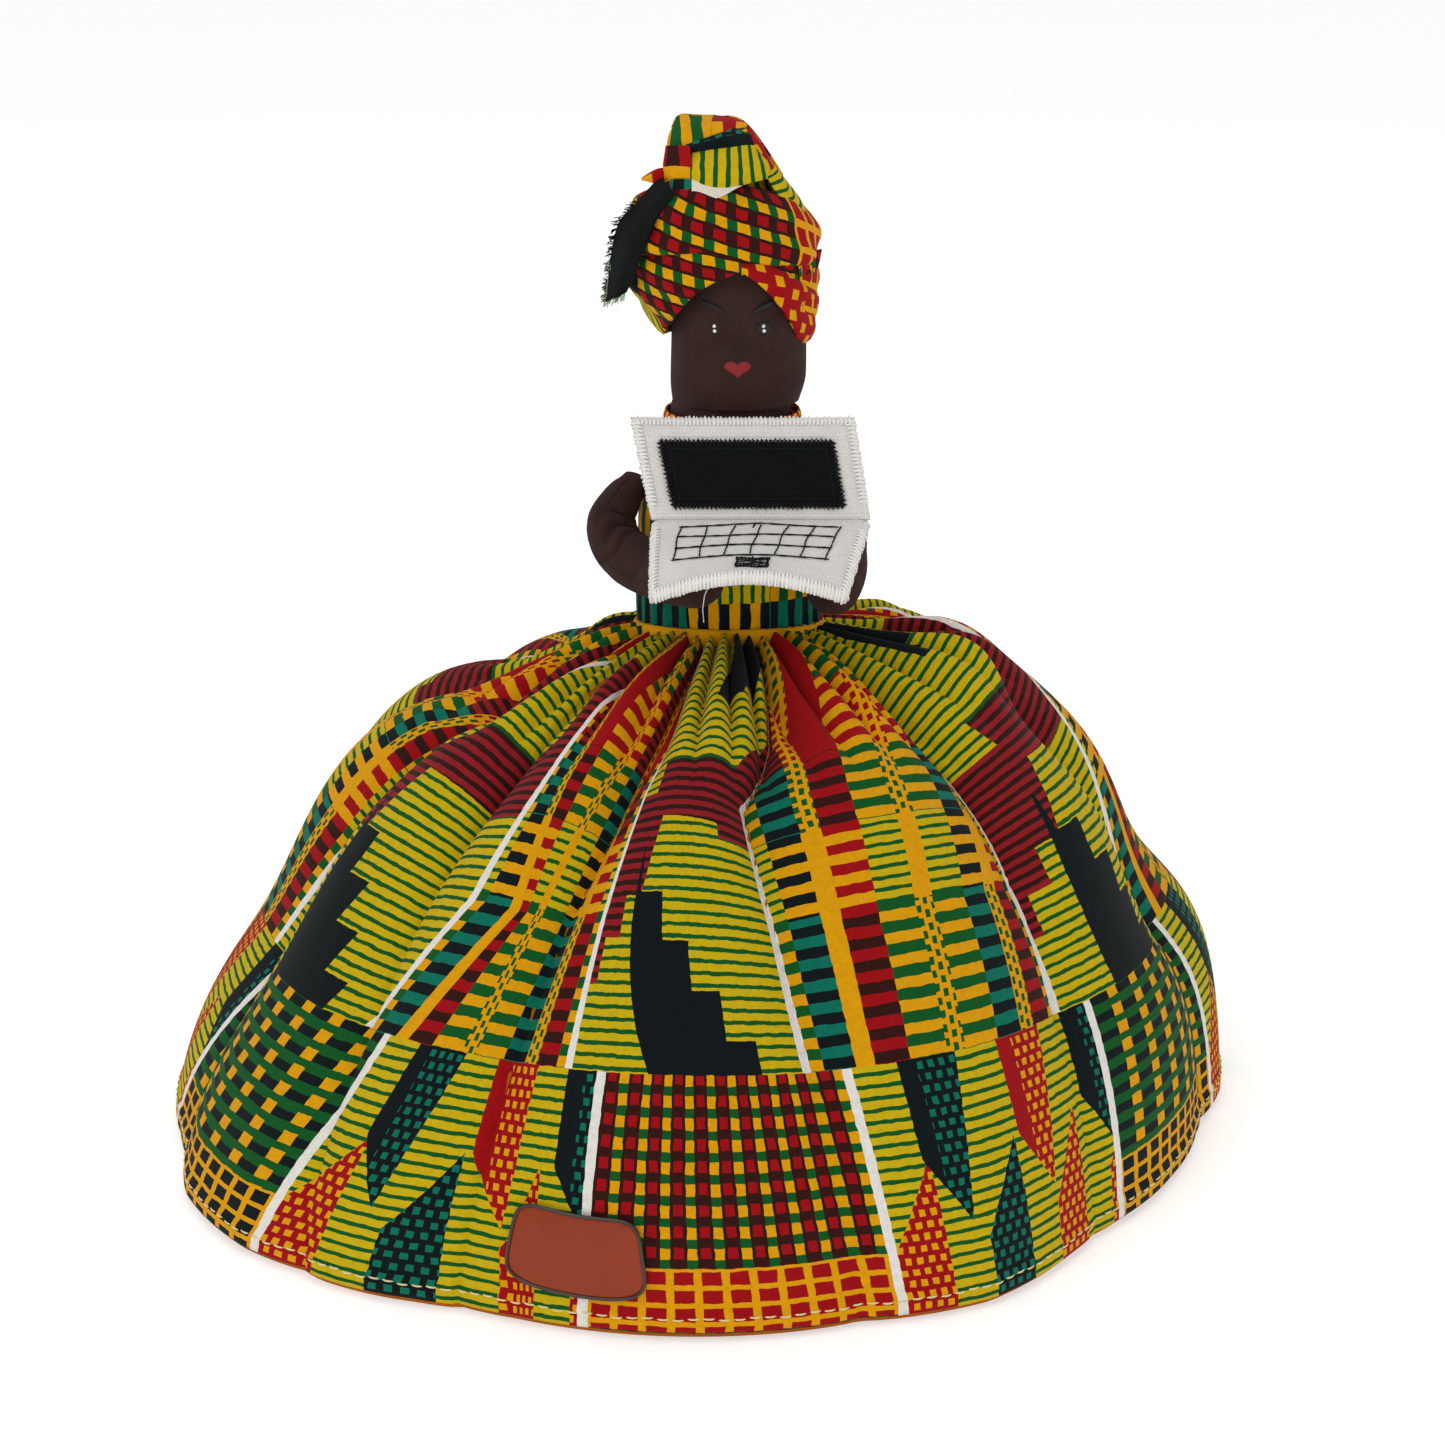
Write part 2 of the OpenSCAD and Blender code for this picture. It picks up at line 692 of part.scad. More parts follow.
base_board();
ballast_bag();
column_cover();
column_filling();
petticoat_band();
petticoat();
skirt_lining();
skirt_front();
skirt_back();
skirt_right();
skirt_left();
skirt_gathers();
hem_stitching();
label();
waistband();
torso_cover();
torso_stuffing();
bodice_front();
bodice_back();
neckband();
neck_plug();
head_front();
head_back();
head_stuffing();
right_eye();
left_eye();
eye_lights();
right_brow();
left_brow();
lashes();
nose_stitches();
lips();
wrap_left_band();
wrap_right_band();
wrap_crown();
wrap_top_fold();
wrap_knot();
wrap_tail();
wrap_end();
right_arm_cover();
right_arm_stuffing();
right_hand_tack();
left_arm_cover();
left_arm_stuffing();
laptop_base();
base_edging();
keyboard_stitching();
touchpad();
fold_tick();
laptop_lid();
lid_edging();
screen_patch();
screen_zigzag();
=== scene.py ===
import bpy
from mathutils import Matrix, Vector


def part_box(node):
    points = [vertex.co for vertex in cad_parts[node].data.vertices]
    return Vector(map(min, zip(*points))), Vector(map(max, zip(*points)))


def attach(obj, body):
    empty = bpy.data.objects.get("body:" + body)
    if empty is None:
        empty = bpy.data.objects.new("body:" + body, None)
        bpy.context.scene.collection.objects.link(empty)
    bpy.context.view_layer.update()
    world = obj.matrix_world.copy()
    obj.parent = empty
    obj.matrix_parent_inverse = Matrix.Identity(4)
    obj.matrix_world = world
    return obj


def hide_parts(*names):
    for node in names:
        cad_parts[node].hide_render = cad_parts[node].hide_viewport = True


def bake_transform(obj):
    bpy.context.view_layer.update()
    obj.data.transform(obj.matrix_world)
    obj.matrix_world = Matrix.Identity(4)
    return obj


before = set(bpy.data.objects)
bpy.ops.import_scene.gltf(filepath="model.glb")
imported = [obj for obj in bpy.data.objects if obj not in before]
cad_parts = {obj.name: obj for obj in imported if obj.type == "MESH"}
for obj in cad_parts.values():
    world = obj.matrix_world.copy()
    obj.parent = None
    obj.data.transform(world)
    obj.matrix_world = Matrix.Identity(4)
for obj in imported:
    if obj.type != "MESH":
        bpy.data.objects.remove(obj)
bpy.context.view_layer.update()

bl_info = {
    "name": "Cloth doll with laptop",
    "version": (1, 0, 0),
    "blender": (4, 5, 0),
    "location": "View3D > Sidebar > Doll",
    "description": "Sews a stuffed cloth doll with a gathered printed skirt, a head wrap and a cloth laptop",
    "category": "Object",
}

import ast
import math

import bpy
import numpy as np
from bpy.props import FloatProperty, FloatVectorProperty, IntProperty, PointerProperty, StringProperty
from mathutils import Vector

MM = 0.001
# in millimetres: the printed cotton, a little thicker than real so that its edges show
CLOTH = 0.6
# in millimetres: how far the lining and the net lie under the skirt's face
LINING_UNDER, NET_UNDER = 1.2, 3.0
# in millimetres: how far a knitted panel's soft rim stands past its sides and past its front
SIDE_RIM, FRONT_RIM = 2.2, 1.1
# in millimetres: half the distance between the eyes, and their height
EYE_X, EYE_Z = 6.9, 239.4
# in metres: half the side of the floor, and how far it lies under the hem
FLOOR_HALF, FLOOR_DROP = 15, 0.0002


def linear(colour):
    """sRGB hex such as #b3131b to linear red, green, blue and alpha."""
    parts = [int(colour[i:i + 2], 16) / 255 for i in (1, 3, 5)]
    return tuple(c / 12.92 if c <= 0.04045 else ((c + 0.055) / 1.055) ** 2.4 for c in parts) + (1.0,)


def colour(name, default, description):
    """A colour that the user may change, as sRGB hex."""
    return StringProperty(name=name, default=default, description=description)


def size(name, default, description):
    """A length that the user may change, in metres."""
    return FloatProperty(name=name, default=default, description=description, unit="LENGTH", precision=4)


# ---------------------------------------------------------------- settings

class ClothSettings(bpy.types.PropertyGroup):
    """The inks of the print, and the plain cloths, as sRGB hex."""
    gold: colour("Gold ink", "#dd9c05", "Plain bars and strips of the print")
    lemon: colour("Lemon ink", "#c9ad0e", "Ground of the fine stripes")
    green: colour("Green ink", "#0c5521", "Bars, stripes and checks")
    black: colour("Black ink", "#0c1517", "Stepped blocks and bars")
    teal: colour("Teal ink", "#066e59", "Bars beside the black ones")
    red: colour("Red ink", "#9c0a11", "Bars, squares and pennants")
    brown: colour("Brown ink", "#33130f", "Bars and checks beside the red ones")
    white: colour("White ink", "#e6e2da", "Thin lines between the strips")
    rust: colour("Rust ink", "#8f1b21", "Stripes of the stepped dark red blocks")
    skin: colour("Brown cotton", "#392623", "Head and arms")
    knit: colour("White knit", "#efece7", "The laptop's panels")


class SkirtSettings(bpy.types.PropertyGroup):
    """The gathered skirt, which hangs as a dome."""
    radius: size("Hem radius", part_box("petticoat")[1][0] + 0.0035, "Radius of the dome at the floor")
    dome: size("Dome height", 0.148, "Height that the dome would reach at its middle")
    body_x: size("Body offset", 0.007, "How far the waist stands to the left of the dome's middle")
    waist_radius: size("Waist radius", 0.0285, "Radius of the gathers at the waist seam")
    hem_turn: size("Hem", 0.005, "Depth of the turned hem, where the topstitching runs")
    stitch: size("Stitch", 0.0032, "Length of one machine stitch of the hem")
    columns: IntProperty(name="Columns", default=840, min=200, description="Mesh columns around the skirt")
    rows: IntProperty(name="Rows", default=130, min=40, description="Mesh rows from hem to waist")


class BodySettings(bpy.types.PropertyGroup):
    """The stuffed body, its bodice and its head."""
    bodice_radius: size("Bodice radius", 0.027, "Radius of the bodice")
    neck_radius: size("Neck radius", 0.0184, "Radius of the neck opening")
    waist: size("Waist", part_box("waistband")[0][2], "Height of the waist seam")
    neck: size("Neck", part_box("torso_cover")[1][2], "Height of the neck opening")
    head_radius: size("Head radius", 0.0195, "Radius of the stuffed head")
    face_x: size("Face offset", 0.0026, "How far the face is set off to one side")


class LaptopSettings(bpy.types.PropertyGroup):
    """The folding cloth laptop."""
    width: size("Width", 0.0595, "Width at the fold")
    base_length: size("Lower panel", 0.026, "Depth of the lower panel")
    lid_length: size("Lid", 0.0286, "Height of the lid")
    thickness: size("Thickness", 0.0032, "Thickness of a knitted panel")
    fold: FloatVectorProperty(name="Fold", default=(0.0158, -0.0416, 0.1896), subtype="TRANSLATION",
                              description="Middle of the fold line")
    lid_angle: FloatProperty(name="Lid angle", default=math.radians(65), subtype="ANGLE",
                             description="Angle of the open lid above level")
    fall: FloatProperty(name="Fall", default=math.radians(21), subtype="ANGLE",
                        description="Fall of the lower panel at its middle")
    droop: FloatProperty(name="Droop", default=math.radians(18), subtype="ANGLE",
                         description="Extra fall of the lower panel at its two sides")
    loop: size("Overlock pitch", 0.0011, "Distance between two loops of the overlocked edge")


class StageSettings(bpy.types.PropertyGroup):
    """Camera and floor."""
    camera_at: FloatVectorProperty(name="Camera", default=(0.005, -0.820, 0.386), subtype="TRANSLATION",
                                   description="Where the camera stands")
    camera_aim: FloatVectorProperty(name="Aim", default=(0.005, 0.0, 0.116), subtype="TRANSLATION",
                                    description="The point the camera looks at")
    lens: FloatProperty(name="Lens", default=71.1, description="Focal length in mm on a 36 mm sensor")
    floor: colour("Floor", "#f6f5f4", "Colour of the plain floor")


# ---------------------------------------------------------------- materials

def add(tree, kind, inputs=(), out=0, **settings):
    """Adds one node, sets it up and feeds its inputs from sockets or values; returns an output."""
    node = tree.nodes.new(kind)
    for key, value in settings.items():
        setattr(node, key, value)
    pairs = inputs.items() if isinstance(inputs, dict) else enumerate(inputs)
    for key, value in pairs:
        if isinstance(value, bpy.types.NodeSocket):
            tree.links.new(value, node.inputs[key])
        else:
            node.inputs[key].default_value = value
    return node.outputs[out]


SIGNS = {ast.Add: "ADD", ast.Sub: "SUBTRACT", ast.Mult: "MULTIPLY", ast.Div: "DIVIDE",
         ast.Mod: "FLOORED_MODULO", ast.Lt: "LESS_THAN", ast.Gt: "GREATER_THAN",
         ast.And: "MULTIPLY", ast.Or: "MAXIMUM", "floor": "FLOOR", "abs": "ABSOLUTE", "sin": "SINE"}


def drawing(tree, text, names):
    """Turns a short drawing program, one name = expression a line, into math nodes."""
    def value(term):
        if isinstance(term, ast.Constant):
            return float(term.value)
        if isinstance(term, ast.Name):
            return names[term.id]
        if isinstance(term, ast.IfExp):
            yes, test, no = value(term.body), value(term.test), value(term.orelse)
            plain = isinstance(yes, float) and isinstance(no, float)
            step = yes - no if plain else add(tree, "ShaderNodeMath", (yes, no), operation="SUBTRACT")
            return add(tree, "ShaderNodeMath", (test, step, no), operation="MULTIPLY_ADD")
        if isinstance(term, ast.BinOp):
            parts, sign = [term.left, term.right], SIGNS[type(term.op)]
        elif isinstance(term, ast.Compare):
            parts, sign = [term.left, term.comparators[0]], SIGNS[type(term.ops[0])]
        elif isinstance(term, ast.BoolOp):
            parts, sign = term.values, SIGNS[type(term.op)]
        else:
            parts, sign = term.args, SIGNS[term.func.id]
        first, *rest = [value(part) for part in parts]
        if not rest:
            return add(tree, "ShaderNodeMath", (first,), operation=sign)
        for part in rest:
            first = add(tree, "ShaderNodeMath", (first, part), operation=sign)
        return first
    for line in ast.parse(text.strip()).body:
        names[line.targets[0].id] = value(line.value)
    return names


INKS = ("gold", "lemon", "green", "black", "teal", "red", "brown", "white", "rust")

# The print, in millimetres of flat cloth: x along the hem, y up from it. Strips of stepped
# blocks and strips of ladder bars take turns, with a white line between them. The part of
# the print above y = 70 is set 11 mm to the left of the part below it.
PRINT = """
low = (x + 41.9) % 172
high = (x + 52.9) % 172
fine = green if y % 3.2 < 1.15 else lemon
bar = y % 6.1 < 3.1

block = low - 2.8
other = (x + 41.9) % 344 > 172
column = block % 7.3
row = y % 5.6
red_square = (abs(column - 2.3) < 1.35) and (abs(row - 1.9) < 1.5)
red_check = (red if red_square else brown) if column < 4.6 else (gold if row < 3.1 else green)
wide_column = block % 12.6 < 8
green_check = (black if row < 2.6 else green) if wide_column else (gold if row < 3.4 else green)
check = green_check if other else red_check
cell = (abs(column - 3.4) < 2.6) and (abs(y % 5 - 2.4) < 1.8)
border = (black if other else red) if cell else gold
edge_row = green if column < 3.8 else brown
blocks = check if y > 20 else (border if y > 2.6 else edge_row)

along = low - 85.8
pitch = (floor(y / 3.2) % 2) * 1.7
dots = ((along + pitch) % 3.4 < 1.8) and (y % 3.2 < 1.9)
side = along % 32
rise = along % 28
foot = (66 - side * 1.7) if side < 24 else (side * 6 - 119)
down = (side > 13) and (y > foot)
up = (rise < 15) and (y < 20 + rise * 1.6)
flame = gold if (dots and (side > 18.5 or up)) else red
night = teal if (dots and (side > 18.5 or up)) else black
hanging = flame if abs(along - 54.5) < 12 else night
standing = flame if abs(along - 35.5) > 15 else night
pennants = hanging if down else (standing if up else fine)
lower = blocks if low < 83 else pennants

a = high
bend = (y - 108) / 43
stair = (a > 20 + 9 * bend * bend) and (a < 67.5 - floor((y - 66) / 13) * 11) and (y < 132)
leg = (6 if y < 105.5 else 14) if y < 117 else (y * 0.32 - 13.5)
patch = (a < leg) and (y > 93) and (y < 149)
slab = (a > 25) and (y > 141.5 - a * 0.03) and (y < 160)
post = (a > 64) and (y > 135) and (y < 196)
peg = (abs(a - 45) < 7) and (y > 182 + floor((a - 38) / 5) * 4)
wine = rust if y % 3.2 < 1.7 else brown
steps = black if (stair or peg) else (wine if (patch or slab or post) else fine)

q = high - 85.8
middle = abs(y - 124.5) < 12.5
hot = abs(y - 176) < 14
slip = (y + floor(q / 2.5) * 1.6) % 3.6 < 2.1
dashes = slip and (q % 2.5 < 1.5) and (abs(y - 124.5) > 12.5)
strip = (red if hot else green) if dashes else gold
plain_strip = strip if y > 137 else gold
wide = fine if middle else ((red if hot else green) if bar else gold)
cool_bar = (teal if bar else black) if y < 162 else wine
cool = (black if bar else gold) if middle else cool_bar
rose_bar = (red if bar else brown) if y < 162 else red
rose = (red if bar else gold) if middle else rose_bar
left_part = cool if q < 12.5 else (plain_strip if q < 18 else rose)
centre = strip if abs(q - 43) < 2.9 else wide
right_part = cool if q < 67 else (strip if q < 73 else rose)
inner = left_part if q < 28.5 else (right_part if q > 57.5 else centre)
rungs = wide if abs(q - 43) > 39.4 else inner
upper = steps if high < 83 else rungs

place = high if y > 70 else low
line = (place < 2.8) or (abs(place - 84.4) < 1.4)
ink = white if line else (upper if y > 70 else lower)
"""

# Red cloth with rows of yellow dots, cut from the widest pennants of the same print.
DOTTED = """
pitch = (floor(y / 4.6) % 2) * 3
dots = ((x + pitch) % 6 < 2.9) and (y % 4.6 < 2.3)
ink = gold if dots else red
"""


def flat_place(tree):
    """Where the point lies on its flat cloth, in millimetres, from the piece's UV map."""
    uv = add(tree, "ShaderNodeUVMap", uv_map="cloth")
    return add(tree, "ShaderNodeVectorMath", (uv, (1000.0, 1000.0, 1000.0)), operation="MULTIPLY")


def relief(tree, place, pitch, depth, text, strength=0.4):
    """A bump drawn by a short program; pitch and depth are in millimetres."""
    turn = 2 * math.pi / pitch
    turned = add(tree, "ShaderNodeVectorMath", (place, (turn, turn, turn)), operation="MULTIPLY")
    x = add(tree, "ShaderNodeSeparateXYZ", (turned,))
    y = x.node.outputs[1]
    height = drawing(tree, text, {"x": x, "y": y})["height"]
    return add(tree, "ShaderNodeBump", {"Strength": strength, "Distance": depth * MM, "Height": height})


WEAVE = "height = sin(x) * sin(y)"
# each knitted stitch is a V, so the rows slant one way and then the other
KNIT = "height = abs(sin(x * 0.5)) * 0.6 + sin(y + abs(sin(x * 0.5)) * 2.2)"


def new_material(name, **sockets):
    """A node material and its shader; the values go on the shader's own sockets."""
    material = bpy.data.materials.new(name)
    material.use_nodes = True
    tree = material.node_tree
    shader = tree.nodes["Principled BSDF"]
    for key, value in sockets.items():
        shader.inputs[key.replace("_", " ")].default_value = value
    return material, tree, shader


COTTON = dict(Roughness=0.88, Sheen_Weight=0.03, Sheen_Roughness=0.5, Specular_IOR_Level=0.1)


def wax_printed_cotton(name="wax_printed_cotton", program=PRINT):
    """Plain weave cotton printed through wax: matt, with crisp inks whose hand-cut edges waver
    a little, a slow unevenness in the dye and a fine thread grain."""
    inks = bpy.context.scene.doll_cloth
    material, tree, shader = new_material(name, **COTTON)
    place = flat_place(tree)
    wobble = add(tree, "ShaderNodeTexNoise", {"Vector": place, "Scale": 0.3, "Detail": 1.0}, out=1)
    centred = add(tree, "ShaderNodeVectorMath", (wobble, (0.5, 0.5, 0.5)), operation="SUBTRACT")
    shift = add(tree, "ShaderNodeVectorMath", (centred, (0.8, 0.8, 0.0)), operation="MULTIPLY")
    moved = add(tree, "ShaderNodeVectorMath", (place, shift), operation="ADD")
    x = add(tree, "ShaderNodeSeparateXYZ", (moved,))
    names = {ink: float(i) for i, ink in enumerate(INKS)}
    names.update(x=x, y=x.node.outputs[1])
    ink = add(tree, "ShaderNodeMath", (drawing(tree, program, names)["ink"], 0.5), operation="ADD")
    ink = add(tree, "ShaderNodeMath", (ink, float(len(INKS))), operation="DIVIDE")
    ramp = add(tree, "ShaderNodeValToRGB", (ink,))
    stops = ramp.node.color_ramp.elements
    ramp.node.color_ramp.interpolation = "CONSTANT"
    while len(stops) < len(INKS):
        stops.new(0.5)
    for i, name in enumerate(INKS):
        stops[i].position = i / len(INKS)
        stops[i].color = linear(getattr(inks, name))
    dye = add(tree, "ShaderNodeTexNoise", {"Vector": place, "Scale": 0.5, "Detail": 6.0, "Roughness": 0.7})
    tone = add(tree, "ShaderNodeMapRange", {"Value": dye, "To Min": 0.72, "To Max": 1.28})
    tinted = add(tree, "ShaderNodeVectorMath", (ramp, tone), operation="MULTIPLY")
    tree.links.new(tinted, shader.inputs["Base Color"])
    # the threads lie 0.4 mm apart; they are drawn at twice that, so that they show
    tree.links.new(relief(tree, place, 0.8, 0.12, WEAVE), shader.inputs["Normal"])
    return material


def dyed_cotton(name, tint, pitch=0.7, unevenness=0.22, text=WEAVE, depth=0.15, sockets=COTTON):
    """Piece-dyed cotton, woven or knitted: one matt colour broken up by thread grain and lint."""
    material, tree, shader = new_material(name, **sockets)
    place = flat_place(tree)
    grain = add(tree, "ShaderNodeTexNoise", {"Vector": place, "Scale": 1.5, "Detail": 5.0, "Roughness": 0.7})
    slow = add(tree, "ShaderNodeTexNoise", {"Vector": place, "Scale": 0.1, "Detail": 2.0})
    both = add(tree, "ShaderNodeMath", (grain, slow), operation="ADD")
    tone = add(tree, "ShaderNodeMapRange", {"Value": both, "From Min": 0.7, "From Max": 1.3,
                                            "To Min": 1 - unevenness, "To Max": 1 + unevenness})
    tinted = add(tree, "ShaderNodeVectorMath", (linear(tint)[:3], tone), operation="MULTIPLY")
    tree.links.new(tinted, shader.inputs["Base Color"])
    tree.links.new(relief(tree, place, pitch, depth, text, 0.6), shader.inputs["Normal"])
    return material


def plain_stuff(name, tint, scale, low, high, depth, **sockets):
    """Board, net, filling, thread or film: one colour with its own grain. The grain's scale is
    in turns a metre and its depth in millimetres."""
    material, tree, shader = new_material(name, **sockets)
    place = add(tree, "ShaderNodeTexCoord", out=3)
    grain = add(tree, "ShaderNodeTexNoise", {"Vector": place, "Scale": scale, "Detail": 4.0})
    tone = add(tree, "ShaderNodeMapRange", {"Value": grain, "To Min": low, "To Max": high})
    tinted = add(tree, "ShaderNodeVectorMath", (linear(tint)[:3], tone), operation="MULTIPLY")
    tree.links.new(tinted, shader.inputs["Base Color"])
    bump = add(tree, "ShaderNodeBump", {"Strength": 0.4, "Distance": depth * MM, "Height": grain})
    tree.links.new(bump, shader.inputs["Normal"])
    return material


def spun_thread(name, tint):
    """Mercerised sewing thread: a soft shine and a slight change of tone from ply to ply."""
    return plain_stuff(name, tint, 2500, 0.75, 1.25, 0.1, Roughness=0.75, Specular_IOR_Level=0.2)


made = {}


def material(name):
    """Each material is made once, the first time that a piece asks for it."""
    cloth = bpy.context.scene.doll_cloth
    recipes = {
        "print": wax_printed_cotton,
        "dotted": lambda: wax_printed_cotton("dotted_wax_printed_cotton", DOTTED),
        "skin": lambda: dyed_cotton("brown_plain_cotton", cloth.skin),
        "knit": lambda: dyed_cotton("white_knitted_cotton", cloth.knit, 1.0, 0.05, KNIT, 0.35,
                                    dict(Roughness=0.9, Sheen_Weight=0.3, Specular_IOR_Level=0.15)),
        "screen": lambda: dyed_cotton("black_plain_cotton", "#0b0f0e", 0.6, 0.25),
        "lining": lambda: dyed_cotton("orange_lining_cotton", "#b8660f", 0.8, 0.2),
        "calico": lambda: dyed_cotton("unbleached_calico", "#e4ddcb", 0.9, 0.08),
        "column": lambda: plain_stuff("calico_cover", "#e4ddcb", 1100, 0.85, 1.1, 0.15, Roughness=0.9),
        "sand_bag": lambda: plain_stuff("cotton_sand_bag", "#c4ae86", 1200, 0.8, 1.15, 0.3, Roughness=0.9),
        "board": lambda: plain_stuff("uncoated_grey_board", "#b59a70", 900, 0.85, 1.1, 0.1, Roughness=0.9),
        "net": lambda: plain_stuff("stiffened_nylon_net", "#efece6", 1500, 0.75, 1.1, 0.2, Roughness=0.6),
        "filling": lambda: plain_stuff("polyester_filling", "#f3f1ea", 700, 0.85, 1.05, 0.6, Roughness=0.95),
        "black_thread": lambda: spun_thread("black_sewing_thread", "#141012"),
        "white_thread": lambda: spun_thread("white_overlock_thread", "#f3f1ed"),
        "cream_thread": lambda: spun_thread("cream_topstitch_thread", "#e6d9a4"),
        "green_thread": lambda: spun_thread("green_frayed_thread", "#8da786"),
        "face_ink": lambda: plain_stuff("black_fabric_ink", "#140d0e", 1500, 0.6, 1.3, 0.05, Roughness=0.7),
        "lip_ink": lambda: plain_stuff("red_fabric_paint", "#8c1416", 1800, 0.65, 1.25, 0.1, Roughness=0.7),
        "eye_dot": lambda: plain_stuff("white_fabric_paint", "#f2f0ea", 1500, 0.9, 1.0, 0.05, Roughness=0.5),
        "film": lambda: plain_stuff("orange_label_film", "#9c3606", 60, 0.8, 1.2, 0.02, Roughness=0.22,
                                    Specular_IOR_Level=0.3, Coat_Weight=0.1, Coat_Roughness=0.2, Alpha=0.78),
        "film_edge": lambda: plain_stuff("dark_label_film", "#2c120d", 60, 0.8, 1.2, 0.02, Roughness=0.3,
                                         Coat_Weight=0.3),
        "floor": lambda: plain_stuff("matt_white_floor", bpy.context.scene.doll_stage.floor, 3, 0.99, 1.0,
                                     0.01, Roughness=0.9, Specular_IOR_Level=0.1,
                                     Emission_Color=(1, 1, 1, 1), Emission_Strength=0.42),
    }
    if name not in made:
        made[name] = recipes[name]()
    return made[name]


# ---------------------------------------------------------------- mesh helpers, all in millimetres

def make_piece(name, parts, stuff, body=None):
    """One mesh object from parts of points, faces and flat cloth places."""
    points, faces, flats, start = [], [], [], 0
    for part_points, part_faces, part_flat in parts:
        points.append(part_points)
        faces += (np.asarray(part_faces) + start).tolist() if not isinstance(part_faces, list) else \
            [[i + start for i in face] for face in part_faces]
        flats.append(part_flat)
        start += len(part_points)
    points, flats = np.concatenate(points) * MM, np.concatenate(flats) * MM
    mesh = bpy.data.meshes.new(name)
    mesh.from_pydata(points.tolist(), [], faces)
    corners = np.empty(len(mesh.loops), int)
    mesh.loops.foreach_get("vertex_index", corners)
    mesh.uv_layers.new(name="cloth").data.foreach_set("uv", flats[corners].astype(np.float32).ravel())
    mesh.polygons.foreach_set("use_smooth", [True] * len(mesh.polygons))
    mesh.materials.append(material(stuff))
    mesh.update()
    piece = bpy.data.objects.new(name, mesh)
    bpy.context.scene.collection.objects.link(piece)
    if body:
        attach(piece, body)
    return piece


def quads(across, up, closed=False):
    """Quads of a grid of points stored row by row."""
    i, j = np.meshgrid(np.arange(across if closed else across - 1), np.arange(up - 1))
    i, j = i.ravel(), j.ravel()
    k = (i + 1) % across
    return np.stack([j * across + i, j * across + k, (j + 1) * across + k, (j + 1) * across + i], 1)


def closed_form(points, flat, inward=False):
    """A part from rows of points that close on themselves, with a cap at each end."""
    up, across = points.shape[:2]
    caps = [list(range(across))[::-1], [(up - 1) * across + i for i in range(across)]]
    if inward:
        caps = [cap[::-1] for cap in caps]
    return points.reshape(-1, 3), quads(across, up, True).tolist() + caps, flat.reshape(-1, 2)


def closed_pair(front, back, flat):
    """A closed part from two grids of points back to back, joined round their rim."""
    up, across = front.shape[:2]
    faces, count = quads(across, up), up * across
    ring = np.concatenate([np.arange(across), np.arange(1, up) * across + across - 1,
                           (up - 1) * across + np.arange(across - 2, -1, -1),
                           np.arange(up - 2, 0, -1) * across])
    after = np.roll(ring, -1)
    rim = np.stack([ring, ring + count, after + count, after], 1)
    return (np.concatenate([front.reshape(-1, 3), back.reshape(-1, 3)]),
            np.concatenate([faces, faces[:, ::-1] + count, rim]), np.concatenate([flat.reshape(-1, 2)] * 2))


def normals(points):
    """Unit normals of a grid of points held as rows, columns and coordinates."""
    normal = np.cross(np.gradient(points, axis=1), np.gradient(points, axis=0))
    return normal / np.maximum(np.linalg.norm(normal, axis=2, keepdims=True), 1e-9)


def thick_sheet(points, flat, thickness):
    """A closed sheet: the given face, and a second one behind it along the normals."""
    return closed_pair(points, points - normals(points) * thickness, flat)


def spline(values, count):
    """Evenly spaced values of a smooth curve through the given ones."""
    last = len(values) - 1
    at = np.linspace(0, last, count)
    k = np.minimum(at.astype(int), last - 1)
    t = (at - k).reshape((-1,) + (1,) * (values.ndim - 1))
    before, after = values[np.maximum(k - 1, 0)], values[np.minimum(k + 2, last)]
    here, there = values[k], values[k + 1]
    return here + 0.5 * t * (there - before + t * (2 * before - 5 * here + 4 * there - after
                                                   + t * (3 * (here - there) + after - before)))


def tube(path, radius, sides=6):
    """A closed tube along a path; radius is one number or one a point."""
    path = np.asarray(path, float)
    radius = np.broadcast_to(np.asarray(radius, float), len(path))
    along = np.gradient(path, axis=0)
    along /= np.maximum(np.linalg.norm(along, axis=1, keepdims=True), 1e-9)
    guide = np.array([0.0, 0.0, 1.0]) if abs(along[:, 2]).max() < 0.9 else np.array([0.31, 0.94, 0.13])
    a = np.cross(along, guide)
    a /= np.maximum(np.linalg.norm(a, axis=1, keepdims=True), 1e-9)
    b = np.cross(along, a)
    turn = np.linspace(0, 2 * np.pi, sides, endpoint=False)
    ring = a[:, None] * np.cos(turn)[None, :, None] + b[:, None] * np.sin(turn)[None, :, None]
    points = path[:, None] + ring * radius[:, None, None]
    step = np.concatenate([[0], np.cumsum(np.linalg.norm(np.diff(path, axis=0), axis=1))])
    flat = np.stack(np.broadcast_arrays(turn[None, :] * radius.mean(), step[:, None]), -1)
    return closed_form(points, flat)


def smooth(low, high, value):
    """A soft step from 0 at low to 1 at high."""
    t = np.clip((np.asarray(value, float) - low) / (high - low), 0, 1)
    return t * t * (3 - 2 * t)


def ripple(u, v, seed, scale):
    """Soft repeatable waves in two directions, between about -1 and 1."""
    draw = np.random.default_rng(seed)
    total = 0
    for _ in range(7):
        ku, kv = draw.normal(0, 1, 2) / scale
        total = total + np.sin(ku * u + kv * v + draw.uniform(0, 6.28))
    return total / 3.5


# ---------------------------------------------------------------- the shape of the skirt

